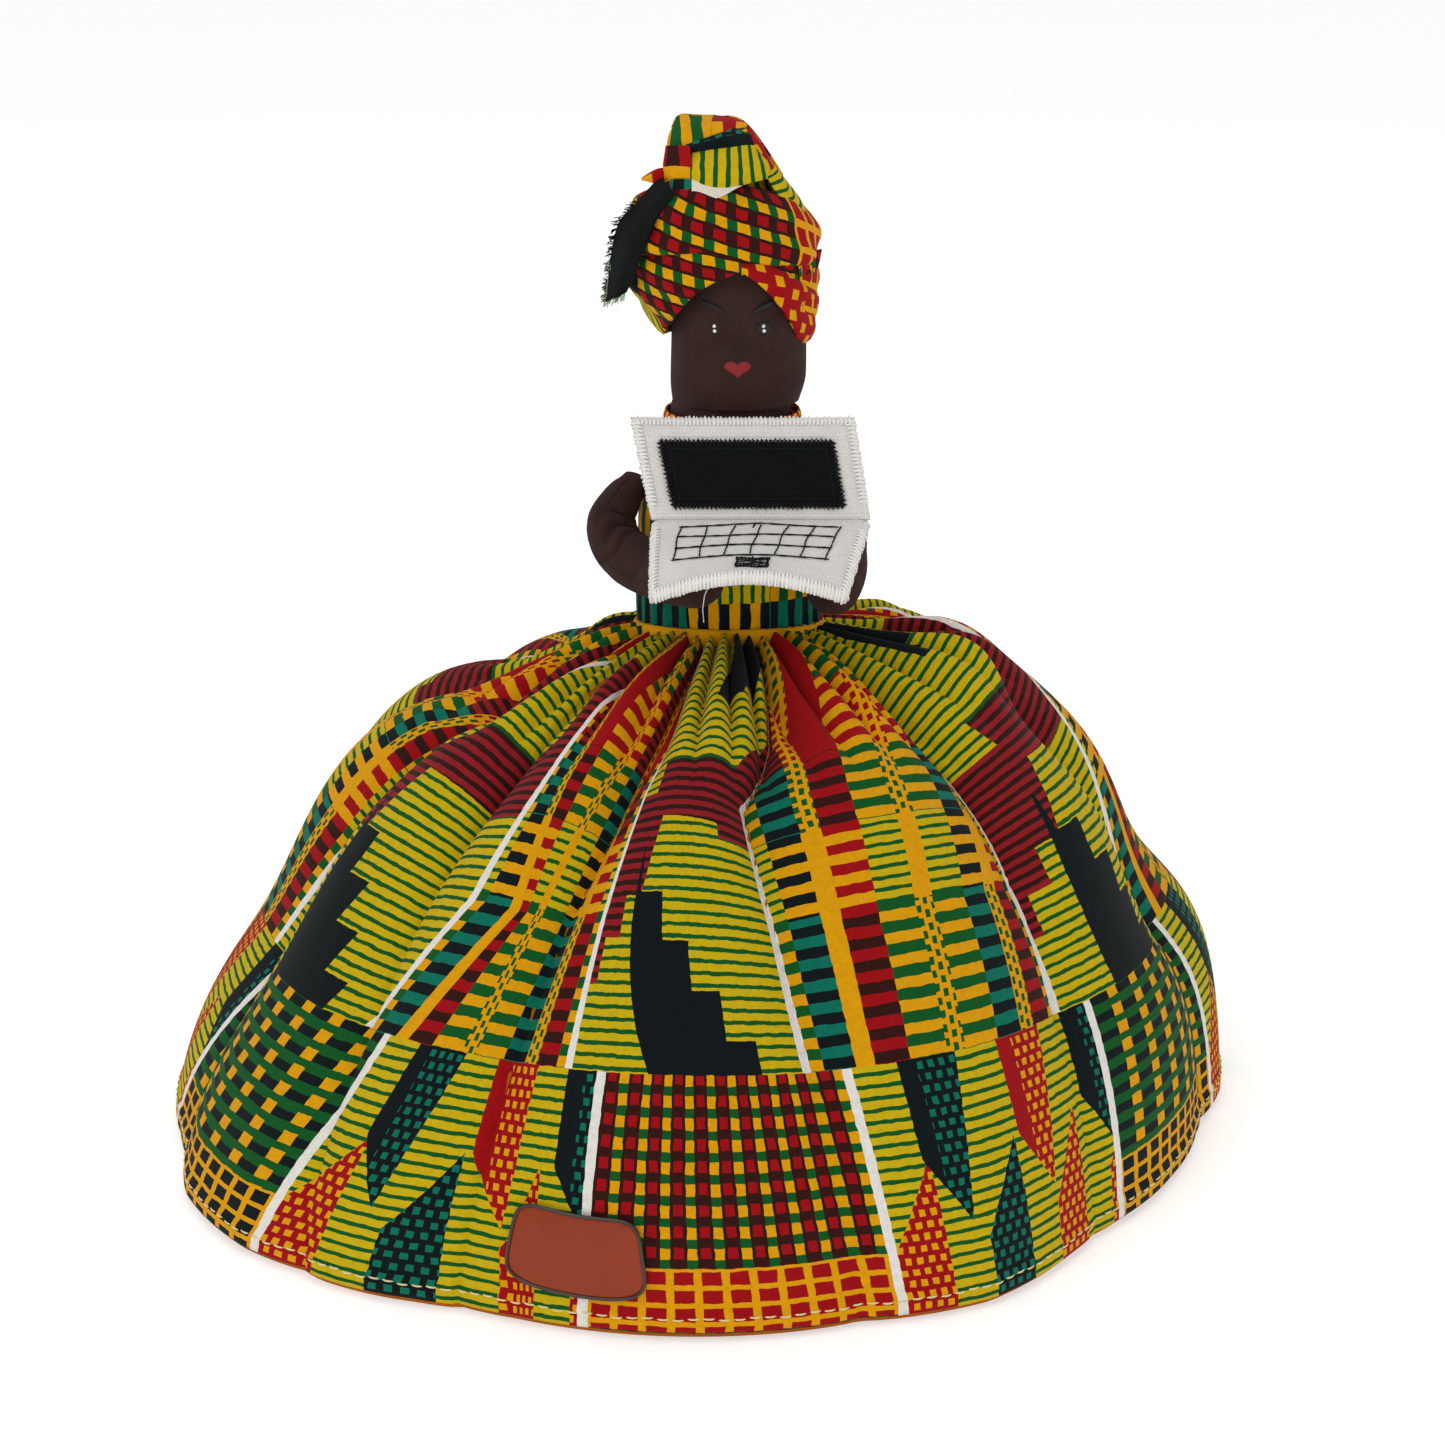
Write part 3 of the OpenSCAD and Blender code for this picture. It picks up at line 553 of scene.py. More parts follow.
# Angles are in degrees from the front, growing towards the doll's left, and the heights are
# taken up the dome from its hem. At each height: where the valleys of the folds run.
HEIGHTS = (5, 70, 110, 150, 175, 205)
VALLEYS = (
    (-162, -160, -158, -156, -154, -150),
    (-128, -130, -131, -132, -132, -130),
    (-98, -99, -101, -103, -102, -100),
    (-68, -70, -71, -70, -60, -52),
    (-40, -41, -42, -43, -44, -45),
    (-24, -22, -20, -17, -16, -15),
    (15, 11, 8, 4, 11.5, 15),
    (45, 43.5, 44, 50, 49.5, 49),
    (76, 76, 80, 84, 90, 96),
    (108, 110, 112, 114, 116, 118),
    (140, 138, 139, 140, 142, 144),
    (170, 172, 173, 174, 175, 176),
)
# The upright lines of the print lean as the folds pull them: the angle of one line at each
# height, and its place on the flat cloth, in millimetres along the hem from the front.
LINES = (
    ((-180,) * 6, -515),
    ((-80, -73, -71, -70.5, -56, -48), -223),
    ((-50, -41.5, -32.5, -31, -31, -28), -140),
    ((-44, -35, -26, -28, -28.5, -26), -124),
    ((-31, -26.5, -23.5, -21.5, -20, -18), -96),
    ((-18, -19.6, -18, -17, -16, -15), -69),
    ((-15, -15, -14.4, -13.4, -12.7, -12), -51.5),
    ((-7, -7, -9.5, -11.3, -11, -10.6), -28.5),
    ((15, 10.5, 7.5, 3.5, 11, 15), (31.5, 31.5, 31.5, 31.5, 12, 0)),
    ((15.6, 11, 8, 4.2, 11.8, 15.7), (32.5, 32.5, 32.5, 33, 45, 46)),
    ((30, 26.6, 27, 30.4, 34.8, 40.5), 76),
    ((45, 43.5, 44, 50, 49.5, 49), (119.5, 119.5, 115, 105, 94, 86)),
    ((45.6, 44, 44.6, 50.8, 50.3, 49.8), (121, 121, 122.5, 130, 137, 143)),
    ((76, 74.5, 84, 98, 101, 105), 203.5),
    ((180,) * 6, 517),
)
# how far the hem stands out from the round, by angle
HEM_AT = (-180, -110, -73, -60, -48, -38, -28, -18, 28, 40, 50, 61, 72, 84, 110, 180)
HEM_OUT = (1, 1, 1.02, 1.06, 1.066, 1.05, 1.015, 1, 1.005, 0.968, 0.95, 0.944, 0.95, 0.98, 1, 1)


def dome(s):
    """Radius, height and outward direction of the plain dome, s millimetres up from its hem."""
    skirt = bpy.context.scene.doll_skirt
    t = np.linspace(0, math.pi / 2, 3000)
    wide, high = skirt.radius / MM, skirt.dome / MM
    r, z = wide * np.cos(t), high * np.sin(t)
    run = np.concatenate([[0], np.cumsum(np.hypot(np.diff(r), np.diff(z)))])
    t = np.interp(s, run, t)
    out, up = high * np.cos(t), wide * np.sin(t)
    long = np.hypot(out, up)
    return wide * np.cos(t), high * np.sin(t), out / long, up / long


def waist_run():
    """How far up the dome the waist seam lies."""
    s = np.linspace(0, 230, 2301)
    return float(s[np.argmin(np.abs(dome(s)[0] - bpy.context.scene.doll_skirt.waist_radius / MM))])


def fold_rise(phi, s):
    """How far the folds lift the cloth off the plain dome."""
    valleys = np.array([[np.interp(s[j, 0], HEIGHTS, v) for v in VALLEYS] for j in range(len(s))])
    valleys = np.concatenate([valleys[:, -1:] - 360, valleys, valleys[:, :1] + 360], 1)
    rise = np.empty_like(phi)
    for j, row in enumerate(valleys):
        at = np.clip(np.searchsorted(row, phi[j]) - 1, 0, len(row) - 2)
        gap = row[at + 1] - row[at]
        t = (phi[j] - row[at]) / gap
        rise[j] = (np.sin(np.pi * np.clip(t, 0, 1)) ** 0.6 - 0.7) * np.minimum(1.1, gap / 24)
    depth = np.interp(s, (0, 40, 110, 150, 180, 200, 215), (3, 5, 10, 14, 14, 7, 2))
    turn = np.radians(phi)
    soft = 1.3 * ripple(turn * 110, s, 5, 26) * smooth(10, 60, s) * (1 - smooth(185, 205, s))
    pleat = np.abs(np.sin(21 * turn + 1.2 * np.sin(3 * turn) + s * 0.015)) ** 0.7 - 0.6
    gathers = 6.2 * pleat * smooth(142, 190, s)
    puff = 10 * np.exp(-((phi - 82) / 17) ** 2 - ((s - 172) / 17) ** 2)
    slack = 13 * np.exp(-((phi + 88) / 48) ** 2 - ((s - 66) / 46) ** 2)
    low_side = 12.5 * np.exp(-((phi + 118) / 46) ** 2 - ((s - 174) / 27) ** 2)
    slack = slack + low_side * (1 - smooth(192, 213, s))
    slack = slack + 8 * np.exp(-((phi - 92) / 42) ** 2 - ((s - 84) / 26) ** 2)
    return rise * depth + soft + gathers + puff - slack


def skirt_point(phi, s, out=0.0):
    """Points of the skirt's outer face; phi and s are grids, and out moves along the dome's normal."""
    skirt = bpy.context.scene.doll_skirt
    r, z, sideways, up = dome(s)
    spread = np.interp(phi, HEM_AT, HEM_OUT)
    r = r * (1 + (spread - 1) * (1 - smooth(0, 120, s)))
    lift = fold_rise(phi, s) + out
    turn = np.radians(phi)
    r = r + lift * sideways
    z = z + lift * up * smooth(0, 12, z) + 4 * np.cos(turn) * smooth(165, 214, s)
    shift = skirt.body_x / MM * (np.clip(z, 0, None) * MM / skirt.dome) ** 2
    return np.stack([r * np.sin(turn) + shift, -r * np.cos(turn), z], -1)


def cloth_place(phi, s):
    """Where each point of the skirt lies on the flat cloth."""
    along = np.empty_like(phi)
    for j in range(len(s)):
        at = [np.interp(s[j, 0], HEIGHTS, line) for line, _ in LINES]
        flat = [np.interp(s[j, 0], HEIGHTS, x) if isinstance(x, tuple) else x for _, x in LINES]
        along[j] = np.interp(phi[j], at, flat)
    return np.stack([along, s], -1)


def ring_grid(across, low, high, up, margin=0.05):
    """Grids of the angle from the front, all the way round, and of the height."""
    phi, s = np.meshgrid(np.linspace(-180 + margin, 180 - margin, across), np.linspace(low, high, up))
    return phi, s


class DOLL_OT_skirt(bpy.types.Operator):
    """Sews the skirt: printed cloth gathered at the waist, its topstitched hem and its lining"""
    bl_idname = "doll.skirt"
    bl_label = "Skirt and lining"

    def execute(self, context):
        skirt = context.scene.doll_skirt
        top = waist_run()
        phi, s = ring_grid(skirt.columns, 0, 1, skirt.rows)
        start = 2.2 + 1.1 * ripple(np.radians(phi) * 150, 0, 3, 40)
        s = start + s * (top - start)
        level = s.mean(axis=1, keepdims=True) + 0 * s
        turned = 0.6 * (1 - smooth(skirt.hem_turn / MM, skirt.hem_turn / MM + 1.5, s - start))
        points = skirt_point(phi, level, turned)
        cloth = make_piece("skirt_cloth", [thick_sheet(points, cloth_place(phi, level), CLOTH)],
                           "print", "figure")
        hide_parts("skirt_front", "skirt_back", "skirt_left", "skirt_right", "skirt_gathers")

        count = int(2 * math.pi * skirt.radius / (skirt.stitch * 1.25))
        stitches = []
        for i in range(count):
            at = -179 + 358 * i / count + np.array([0, 0.3, 0.62, 0.93]) * 360 * skirt.stitch / (
                2 * math.pi * skirt.radius)
            high = 6.3 + 0.25 * math.sin(i * 1.7)
            line = skirt_point(at[None], np.full((1, 4), high), np.array([[0.35, 0.75, 0.75, 0.35]]))[0]
            stitches.append(tube(line, 0.27, 5))
        hem = make_piece("hem_topstitching", stitches, "cream_thread", "figure")
        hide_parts("hem_stitching")

        phi, s = ring_grid(360, 0.4, top - 4, 60)
        lining = make_piece("lining_cloth", [thick_sheet(
            skirt_point(phi, s, -LINING_UNDER), np.stack([np.radians(phi) * 160, s], -1), 0.3)],
            "lining", "figure")
        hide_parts("skirt_lining")
        phi, s = ring_grid(300, 6, 205, 50)
        net = make_piece("petticoat_net", [thick_sheet(
            skirt_point(phi, s, -NET_UNDER), np.stack([np.radians(phi) * 160, s], -1), 0.4)],
            "net", "figure")
        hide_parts("petticoat")
        return {"FINISHED"}


class DOLL_OT_label(bpy.types.Operator):
    """Sticks the blank label of coloured film on the front of the skirt"""
    bl_idname = "doll.label"
    bl_label = "Label"

    def execute(self, context):
        def patch(grow, out):
            u, v = np.meshgrid(np.linspace(-1, 1, 41), np.linspace(-1, 1, 31))
            # a square drawn out to a rounded trapezoid, wider at its foot
            reach = (np.abs(u) ** 5 + np.abs(v) ** 5 + 1e-9) ** (1 / 5)
            big = np.maximum(np.abs(u), np.abs(v))
            u, v = u * big / reach, v * big / reach
            x = -33.4 + u * (19.8 + grow - 1.5 * (v + 1))
            s = 23.5 + v * (11.2 + grow) - 0.8 * u - 1.6 * (1 - u * u)
            phi = np.degrees(np.arcsin(x / 162))
            r, z, sideways, up = dome(s)
            level = np.broadcast_to(s.mean(axis=1, keepdims=True), s.shape)
            spread = np.interp(phi, HEM_AT, HEM_OUT)
            r = r * (1 + (spread - 1) * (1 - smooth(0, 120, s)))
            lift = fold_rise(phi, level) + 1.0 + out + 0.4 * u * u
            turn = np.radians(phi)
            r = r + lift * sideways
            points = np.stack([r * np.sin(turn), -r * np.cos(turn), z + lift * up], -1)
            return points, np.stack([x, s], -1)
        rim = patch(-0.5, 0.1)[0]
        rim = np.concatenate([rim[0], rim[1:, -1], rim[-1, -2::-1], rim[-2::-1, 0]])
        make_piece("label_border", [tube(rim, 0.5, 8)], "film_edge", "figure")
        film = make_piece("label_film", [thick_sheet(*patch(-0.6, 0.1), 0.2)], "film", "figure")
        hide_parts("label")
        return {"FINISHED"}


# ---------------------------------------------------------------- body

def turned(profile, across, up):
    """Grids of angle, radius and height from a short profile of (radius, height)."""
    r, z = np.array(profile, float).T
    run = np.concatenate([[0], np.cumsum(np.hypot(np.diff(r), np.diff(z)))])
    phi, s = ring_grid(across, 0, run[-1], up)
    return phi, s, np.interp(s, run, r), np.interp(s, run, z)


class DOLL_OT_bodice(bpy.types.Operator):
    """Sews the bodice, its waistband and its neckband around the stuffed torso"""
    bl_idname = "doll.bodice"
    bl_label = "Bodice and bands"

    def execute(self, context):
        body = context.scene.doll_body
        r, low, high = body.bodice_radius / MM, body.waist / MM, body.neck / MM
        centre = context.scene.doll_skirt.body_x / MM
        phi, s, radius, z = turned((
            (r, low + 3), (r + 0.4, low + 20), (r - 0.4, low + 37), (r - 1.6, low + 46), (r - 4.5, low + 54),
            (r - 7.5, low + 60), (r - 8.5, high)), 260, 70)
        turn = np.radians(phi)
        radius = radius + 0.45 * ripple(turn * 27, s, 8, 9) + 0.5 * smooth(0, 14, 14 - s) * np.sin(turn * 31)
        z = z + 4 * np.cos(turn) * (1 - smooth(0, 25, s))
        points = np.stack([centre + radius * np.sin(turn), -radius * np.cos(turn), z], -1)
        # The print lies on its side here, so that its bars stand round the body. Above the bars it
        # runs back on itself, so that no plain line crosses the shoulders.
        along, back_at = 32.9 + 68 - s, 48
        flat = np.stack([np.where(along < back_at, 2 * back_at - along, along), 125 + turn * r], -1)
        cloth = make_piece("bodice_cloth", [thick_sheet(points, flat, CLOTH)],
                           "print", "figure")
        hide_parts("bodice_front", "bodice_back")

        phi, v = ring_grid(220, -1, 1, 9)
        turn = np.radians(phi)
        radius = r + 1.1 + 0.9 * (1 - v * v)
        z = low + 1.6 + 2.7 * v + 4 * np.cos(turn) + 0.3 * ripple(turn * 27, 0 * v, 2, 6)
        points = np.stack([centre + radius * np.sin(turn), -radius * np.cos(turn), z], -1)
        flat = np.stack([48.2 + 2.4 * v, 118.5 + turn * r], -1)
        band = make_piece("waistband_cloth", [thick_sheet(points, flat, CLOTH)],
                          "print", "figure")
        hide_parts("waistband")

        neck = body.neck_radius / MM
        radius = neck + 1.2 + 0.6 * (1 - v * v)
        z = high - 0.6 + 2.2 * v
        points = np.stack([centre + 0.9 + radius * np.sin(turn), -radius * np.cos(turn), z], -1)
        flat = np.stack([turn * neck * 1.6, 3.9 + 1.9 * v], -1)
        collar = make_piece("neckband_cloth", [thick_sheet(points, flat, CLOTH)],
                            "dotted", "figure")
        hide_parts("neckband")
        return {"FINISHED"}


def limb(stations, thick):
    """Middle line and radii of an arm through stations of (angle, distance from the bodice, height
    above the waist, share of the thickness)."""
    body = bpy.context.scene.doll_body
    r, low, centre = body.bodice_radius / MM, body.waist / MM, bpy.context.scene.doll_skirt.body_x / MM
    a, far, up, share = np.array(stations, float).T
    reach = r + 0.2 + far
    line = np.stack([centre + reach * np.sin(np.radians(a)), -reach * np.cos(np.radians(a)), low + up], 1)
    # round the hand off past the last station
    tip = line[-1] + (line[-1] - line[-2]) / np.linalg.norm(line[-1] - line[-2]) * thick * share[-1] * 0.55
    line, share = np.vstack([line, tip]), np.append(share, 0.02)
    return spline(line, 120), np.sqrt(np.clip(spline(share ** 2, 120), 0.0006, None)) * thick


def padded_tube(path, wide, creases, seed, sides=44, seam_at=2.0):
    """A stuffed tube with a sunk seam, soft dents, and creases of (share of the length, width, depth,
    the side that they face)."""
    along = np.gradient(path, axis=0)
    along /= np.linalg.norm(along, axis=1, keepdims=True)
    a = np.cross(along, (0, 0, 1.0))
    a /= np.linalg.norm(a, axis=1, keepdims=True)
    b = np.cross(a, along)
    turn = np.linspace(0, 2 * np.pi, sides, endpoint=False)
    step = np.concatenate([[0], np.cumsum(np.linalg.norm(np.diff(path, axis=0), axis=1))])
    share = step / step[-1]
    t, u = np.meshgrid(turn, share)
    dent = 0.022 * ripple(t * 5, u * 60, seed, 5)
    for at, width, depth, where in creases:
        facing = (a[:, None] * np.cos(t)[..., None] + b[:, None] * np.sin(t)[..., None]) @ np.array(where)
        near = smooth(-0.2, 0.7, facing)
        dent -= depth * near * np.exp(-((u - at - 0.03 * np.sin(3 * t)) / width) ** 2)
    dent -= 0.06 * np.exp(-(np.angle(np.exp(1j * (t - seam_at))) / 0.09) ** 2) * smooth(0.02, 0.1, u)
    radius = wide[:, None] * (1 + dent)
    points = path[:, None] + radius[..., None] * (a[:, None] * np.cos(t)[..., None] * 1.04
                                                  + b[:, None] * np.sin(t)[..., None] * 0.97)
    flat = np.stack([t * wide.mean(), np.broadcast_to(step[:, None], t.shape)], -1)
    return closed_form(points, flat), points[:, int(seam_at / (2 * np.pi) * sides)]


RIGHT_ARM = ((-78, 1.2, 49, 0.34), (-75, 2.6, 46.2, 0.56), (-72, 6.2, 42.2, 0.74), (-69, 9.4, 37.2, 0.86),
             (-60, 10.2, 31.6, 0.96), (-49, 9.6, 28.4, 1.02), (-34, 10.8, 27, 1.02), (-21, 15.5, 27.2, 0.98),
             (-10.5, 21.5, 27.8, 0.9), (-6, 24.5, 28, 0.62))
LEFT_ARM = ((78, 0.8, 49, 0.34), (75, 3.2, 46, 0.66), (72, 5.8, 41, 0.86), (68, 7.6, 35.5, 0.94),
            (62, 8.6, 30, 0.98), (56, 11, 26, 1.0), (48, 14, 23, 0.98), (40.5, 18, 21.6, 0.9),
            (37, 21, 21, 0.6))
RIGHT_CREASES = ((0.33, 0.022, 0.3, (0.75, -0.6, 0.25)), (0.24, 0.014, 0.1, (0.2, -0.9, 0.3)),
                 (0.42, 0.014, 0.12, (-0.1, -0.9, 0.4)), (0.62, 0.02, 0.05, (0, -1, 0)))
LEFT_CREASES = ((0.34, 0.03, 0.15, (-0.7, -0.6, 0.3)), (0.84, 0.015, 0.12, (0.2, -0.9, -0.3)))


class DOLL_OT_arms(bpy.types.Operator):
    """Stuffs the two arms and stitches their seams"""
    bl_idname = "doll.arms"
    bl_label = "Arms"

    def execute(self, context):
        for side, stations, creases, seed in (("right", RIGHT_ARM, RIGHT_CREASES, 4),
                                              ("left", LEFT_ARM, LEFT_CREASES, 9)):
            part, seam = padded_tube(*limb(stations, 8.0), creases, seed)
            arm = make_piece(side + "_arm_stuffed", [part], "skin", side + "_arm")
            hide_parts(side + "_arm_cover", side + "_arm_stuffing")
            stitches = [tube(seam[i:i + 3] + (0, 0, 0.25), 0.16, 5) for i in range(12, len(seam) - 10, 4)]
            make_piece(side + "_arm_seam_stitches", stitches, "black_thread", side + "_arm")
        return {"FINISHED"}


# ---------------------------------------------------------------- head

def head_outline(z):
    """Half width of the stuffed head at a height; it is a soft upright cylinder."""
    body = bpy.context.scene.doll_body
    low, wide = body.neck / MM + 3, body.head_radius / MM
    foot = smooth(low - 6, low + 9, z)
    top = np.sqrt(np.clip(1 - (np.clip(z - (low + 40), 0, None) / 19.5) ** 2, 0.0005, 1))
    return wide * (0.885 + 0.115 * foot) * top


def head_point(a, z, out=0.0):
    """Points of the head: a is the angle from the front in degrees."""
    body = bpy.context.scene.doll_body
    centre = (bpy.context.scene.doll_skirt.body_x + body.face_x * (0.7 + 0.3 * smooth(213, 224, z))) / MM
    r = head_outline(z) + out
    turn = np.radians(a)
    return np.stack([centre + r * np.sin(turn), -r * np.cos(turn), np.broadcast_to(z, r.shape)], -1)


def on_face(x, z, out):
    """A point on the face, x millimetres from its middle."""
    r = head_outline(np.asarray(z, float))
    a = np.degrees(np.arcsin(np.clip(np.asarray(x, float) / r, -0.99, 0.99)))
    return head_point(a, np.asarray(z, float), out)


def drawn(outline, out, thick=0.12, steps=3):
    """A flat shape on the face: rings shrinking from the outline (x, z) to its middle."""
    outline = np.asarray(outline, float)
    middle = outline.mean(axis=0)
    rings = [middle + (outline - middle) * k for k in np.linspace(1, 0.02, steps)]
    points = np.concatenate([on_face(r[:, 0], r[:, 1], out) for r in rings])
    under = on_face(outline[:, 0], outline[:, 1], out - thick)
    n = len(outline)
    faces = quads(n, steps, True).tolist() + [[(steps - 1) * n + i for i in range(n)]]
    base = len(points)
    faces += [[(i + 1) % n, i, base + i, base + (i + 1) % n] for i in range(n)] + [
        [base + i for i in range(n)][::-1]]
    return np.concatenate([points, under]), faces, np.concatenate([np.concatenate(rings), outline])


def almond(x, z, wide, high, tilt=0.0, points=28):
    """Outline of an eye."""
    t = np.linspace(0, 2 * np.pi, points, endpoint=False)
    u, v = wide * np.cos(t), high * np.sign(np.sin(t)) * np.abs(np.sin(t)) ** 1.3
    c, s = math.cos(tilt), math.sin(tilt)
    return np.stack([x + u * c - v * s, z + u * s + v * c], 1)


def face_line(x, z, width, out=0.12):
    """A sewn or inked line on the face; its ends taper."""
    x, z = np.asarray(x, float), np.asarray(z, float)
    t = np.linspace(0, 1, len(x))
    return tube(on_face(x, z, out), width / 2 * (0.35 + 0.65 * np.sin(np.pi * t) ** 0.5), 5)


class DOLL_OT_head(bpy.types.Operator):
    """Stuffs the head and sews the face: eyes, brows, lashes, nose and lips"""
    bl_idname = "doll.head"
    bl_label = "Head and face"

    def execute(self, context):
        low = context.scene.doll_body.neck / MM
        a, z = np.meshgrid(np.linspace(-180, 180, 120, endpoint=False),
                           low + 4.5 + 58.3 * smooth(0, 1, np.linspace(0, 1, 70)) ** 0.9)
        points = head_point(a, z, 0.25 * ripple(a * 0.34, z, 12, 9))
        head = make_piece("head_stuffed", [closed_form(points, np.stack([np.radians(a) * 19.5, z], -1))],
                          "skin", "head")
        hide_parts("head_front", "head_back", "head_stuffing")

        a, z = np.meshgrid(np.linspace(-180, 180, 80, endpoint=False), low + np.linspace(-4, 6, 12))
        turn, r = np.radians(a), np.interp(z, (low - 4, low + 2, low + 6), (17.2, 17.6, 16.6))
        points = np.stack([7.4 + r * np.sin(turn), -r * np.cos(turn), z], -1)
        neck = make_piece("neck_cover", [closed_form(points, np.stack([turn * 18, z], -1))],
                          "skin")
        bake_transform(neck)
        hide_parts("neck_plug")

        eyes, lights, brows, lashes = [], [], [], []
        t = np.linspace(0, 1, 14)
        for side in (-1, 1):
            x, z = EYE_X * side + 0.1, EYE_Z
            eyes.append(drawn(almond(x, z, 1.9, 1.9, 0.1 * side), 0.2))
            lights += [drawn(almond(x - 0.1 * k, z + k, 0.5, 0.5, 0, 12), 0.34) for k in (-0.7, 0.7)]
            brows.append(face_line(side * (4.2 + 5.9 * t), 243.7 + 3.3 * t ** 0.7, 1.7, 0.2))
            lashes.append(face_line(x + side * (-2.6 + 6.6 * t),
                                    z + 1.6 - 1.1 * np.sin(np.pi * t) + 1.6 * t * t, 0.55))
            lashes += [face_line(x + side * (1.6 + 0.6 * k + 1.7 * t),
                                 z + 1.0 - 0.7 * k + (1.1 - 0.9 * k) * t, 0.3) for k in range(3)]
        for name, parts, stuff, slot, nodes in (
                ("eyes_inked", eyes, "face_ink", "black_thread", ("right_eye", "left_eye")),
                ("eye_lights_painted", lights, "eye_dot", "white_thread", ("eye_lights",)),
                ("brows_inked", brows, "face_ink", "black_thread", ("right_brow", "left_brow")),
                ("lashes_inked", lashes, "face_ink", "black_thread", ("lashes",))):
            piece = make_piece(name, parts, stuff, "head")
            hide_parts(*nodes)
        t = np.linspace(0, 1, 9)
        nose = [face_line(0.3 - 2.3 * t, 235.8 - 2.5 * t, 0.6),
                face_line(-2.1 + 2.5 * t, 233.2 - 0.9 * t, 0.6)]
        piece = make_piece("nose_inked", nose, "face_ink", "head")
        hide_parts("nose_stitches")
        t = np.linspace(0, 2 * np.pi, 48, endpoint=False)
        x = 3.8 * np.sin(t) ** 3 - 0.3
        z = 228.1 + 0.17 * (13 * np.cos(t) - 5 * np.cos(2 * t) - 2 * np.cos(3 * t) - np.cos(4 * t))
        piece = make_piece("lips_painted", [drawn(np.stack([x, z], 1), 0.2, 0.2, 4)],
                           "lip_ink", "head")
        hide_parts("lips")
        return {"FINISHED"}


# ---------------------------------------------------------------- head wrap

def across_profile(z, profile):
    """The columns of a short profile at the heights z."""
    heights = [row[0] for row in profile]
    return [np.interp(z, heights, [row[k] for row in profile]) for k in range(1, len(profile[0]))]


# height, middle, half width and half depth of the wound cloth
WRAP = ((234, 8.5, 20.6, 20.8), (240, 7.2, 22.6, 21.6), (250, 4.6, 25.9, 23), (262, 3.6, 25.6, 22.4),
        (274, 4, 21.8, 18.6), (284, 4.5, 15.5, 13), (291, 1, 9, 8), (295.5, -1, 2, 2))
# the edge of the face opening, by angle from the front
OPENING_AT = (-180, -110, -69, -38, -13, 0, 14.6, 22, 31, 43.6, 55.5, 70, 110, 180)
OPENING = (233, 233, 235.4, 242.6, 250.6, 253.8, 256, 253.4, 249.4, 242.4, 236, 233.5, 233, 233)


def wrap_point(a, z, out=0.0):
    """Points of the wound cloth: a is the angle from the front in degrees."""
    middle, wide, deep = across_profile(z, WRAP)
    turn = np.radians(a)
    return np.stack([middle + (wide + out) * np.sin(turn), 1 - (deep + out) * np.cos(turn),
                     z + 0 * turn], -1)


def wound(name, low, high, start, end, out, bulge, slope, first, stuff="print", across=200, up=40,
          seed=1, node=(), lean=0.0):
    """Cloth wound round the head between two edges. low and high give the edges' heights by angle,
    out and bulge how far the cloth stands off, slope and first how the print lies on it."""
    a, t = np.meshgrid(np.linspace(start, end, across), np.linspace(0, 1, up))
    bottom, top = np.interp(a, *low), np.interp(a, *high)
    z = bottom + (top - bottom) * t
    round_it = np.radians(a) * 24
    crease = 0.55 * np.sin((z + round_it * (slope + lean)) * 0.62 + 0.8 * ripple(round_it, z, seed, 14))
    rise = out + bulge * np.sqrt(np.clip(1 - (2 * t - 1) ** 2, 0, 1)) + crease * 0.8
    rise = rise + 0.5 * ripple(round_it, z, seed + 3, 8)
    flat = np.stack([first[0] - z - slope * round_it, first[1] - round_it], -1)
    points = wrap_point(a, z, rise)
    piece = make_piece(name, [thick_sheet(points, flat, 0.7)], stuff, "head")
    if node:
        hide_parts(*node)
    return piece


def patch(controls, flat_from, flat_to, seed=1, rough=0.35, across=48, up=28, turned=False):
    """A piece of cloth through rows of control points; its flat place runs from one corner to the
    other, and turned lays the print on its side."""
    rows = spline(np.array(controls, float), up)
    points = spline(rows.transpose(1, 0, 2), across).transpose(1, 0, 2)
    u, v = np.meshgrid(np.linspace(0, 1, across), np.linspace(0, 1, up))
    points = points + normals(points) * (rough * ripple(u * 20, v * 14, seed, 4))[..., None]
    if turned:
        u, v = v, u
    flat = np.stack([flat_from[0] + u * (flat_to[0] - flat_from[0]),
                     flat_from[1] + v * (flat_to[1] - flat_from[1])], -1)
    return thick_sheet(points, flat, CLOTH)


def frayed(edge, outward, count, length, seed):
    """Loose threads along a torn edge of the cloth."""
    draw = np.random.default_rng(seed)
    edge, threads = np.array(edge, float), []
    step = np.concatenate([[0], np.cumsum(np.linalg.norm(np.diff(edge, axis=0), axis=1))])
    for at in np.sort(draw.uniform(0, step[-1], count)):
        root = np.array([np.interp(at, step, edge[:, i]) for i in range(3)])
        way = np.array(outward, float) + draw.normal(0, 0.35, 3)
        way *= length * draw.uniform(0.5, 1.2) / np.linalg.norm(way)
        sag = np.array([0, 0, -0.4]) * length * draw.uniform(0.2, 1)
        threads.append(tube([root - way * 0.25, root + way * 0.3, root + way * 0.7 + sag * 0.4,
                             root + way + sag], 0.13, 4))
    return threads


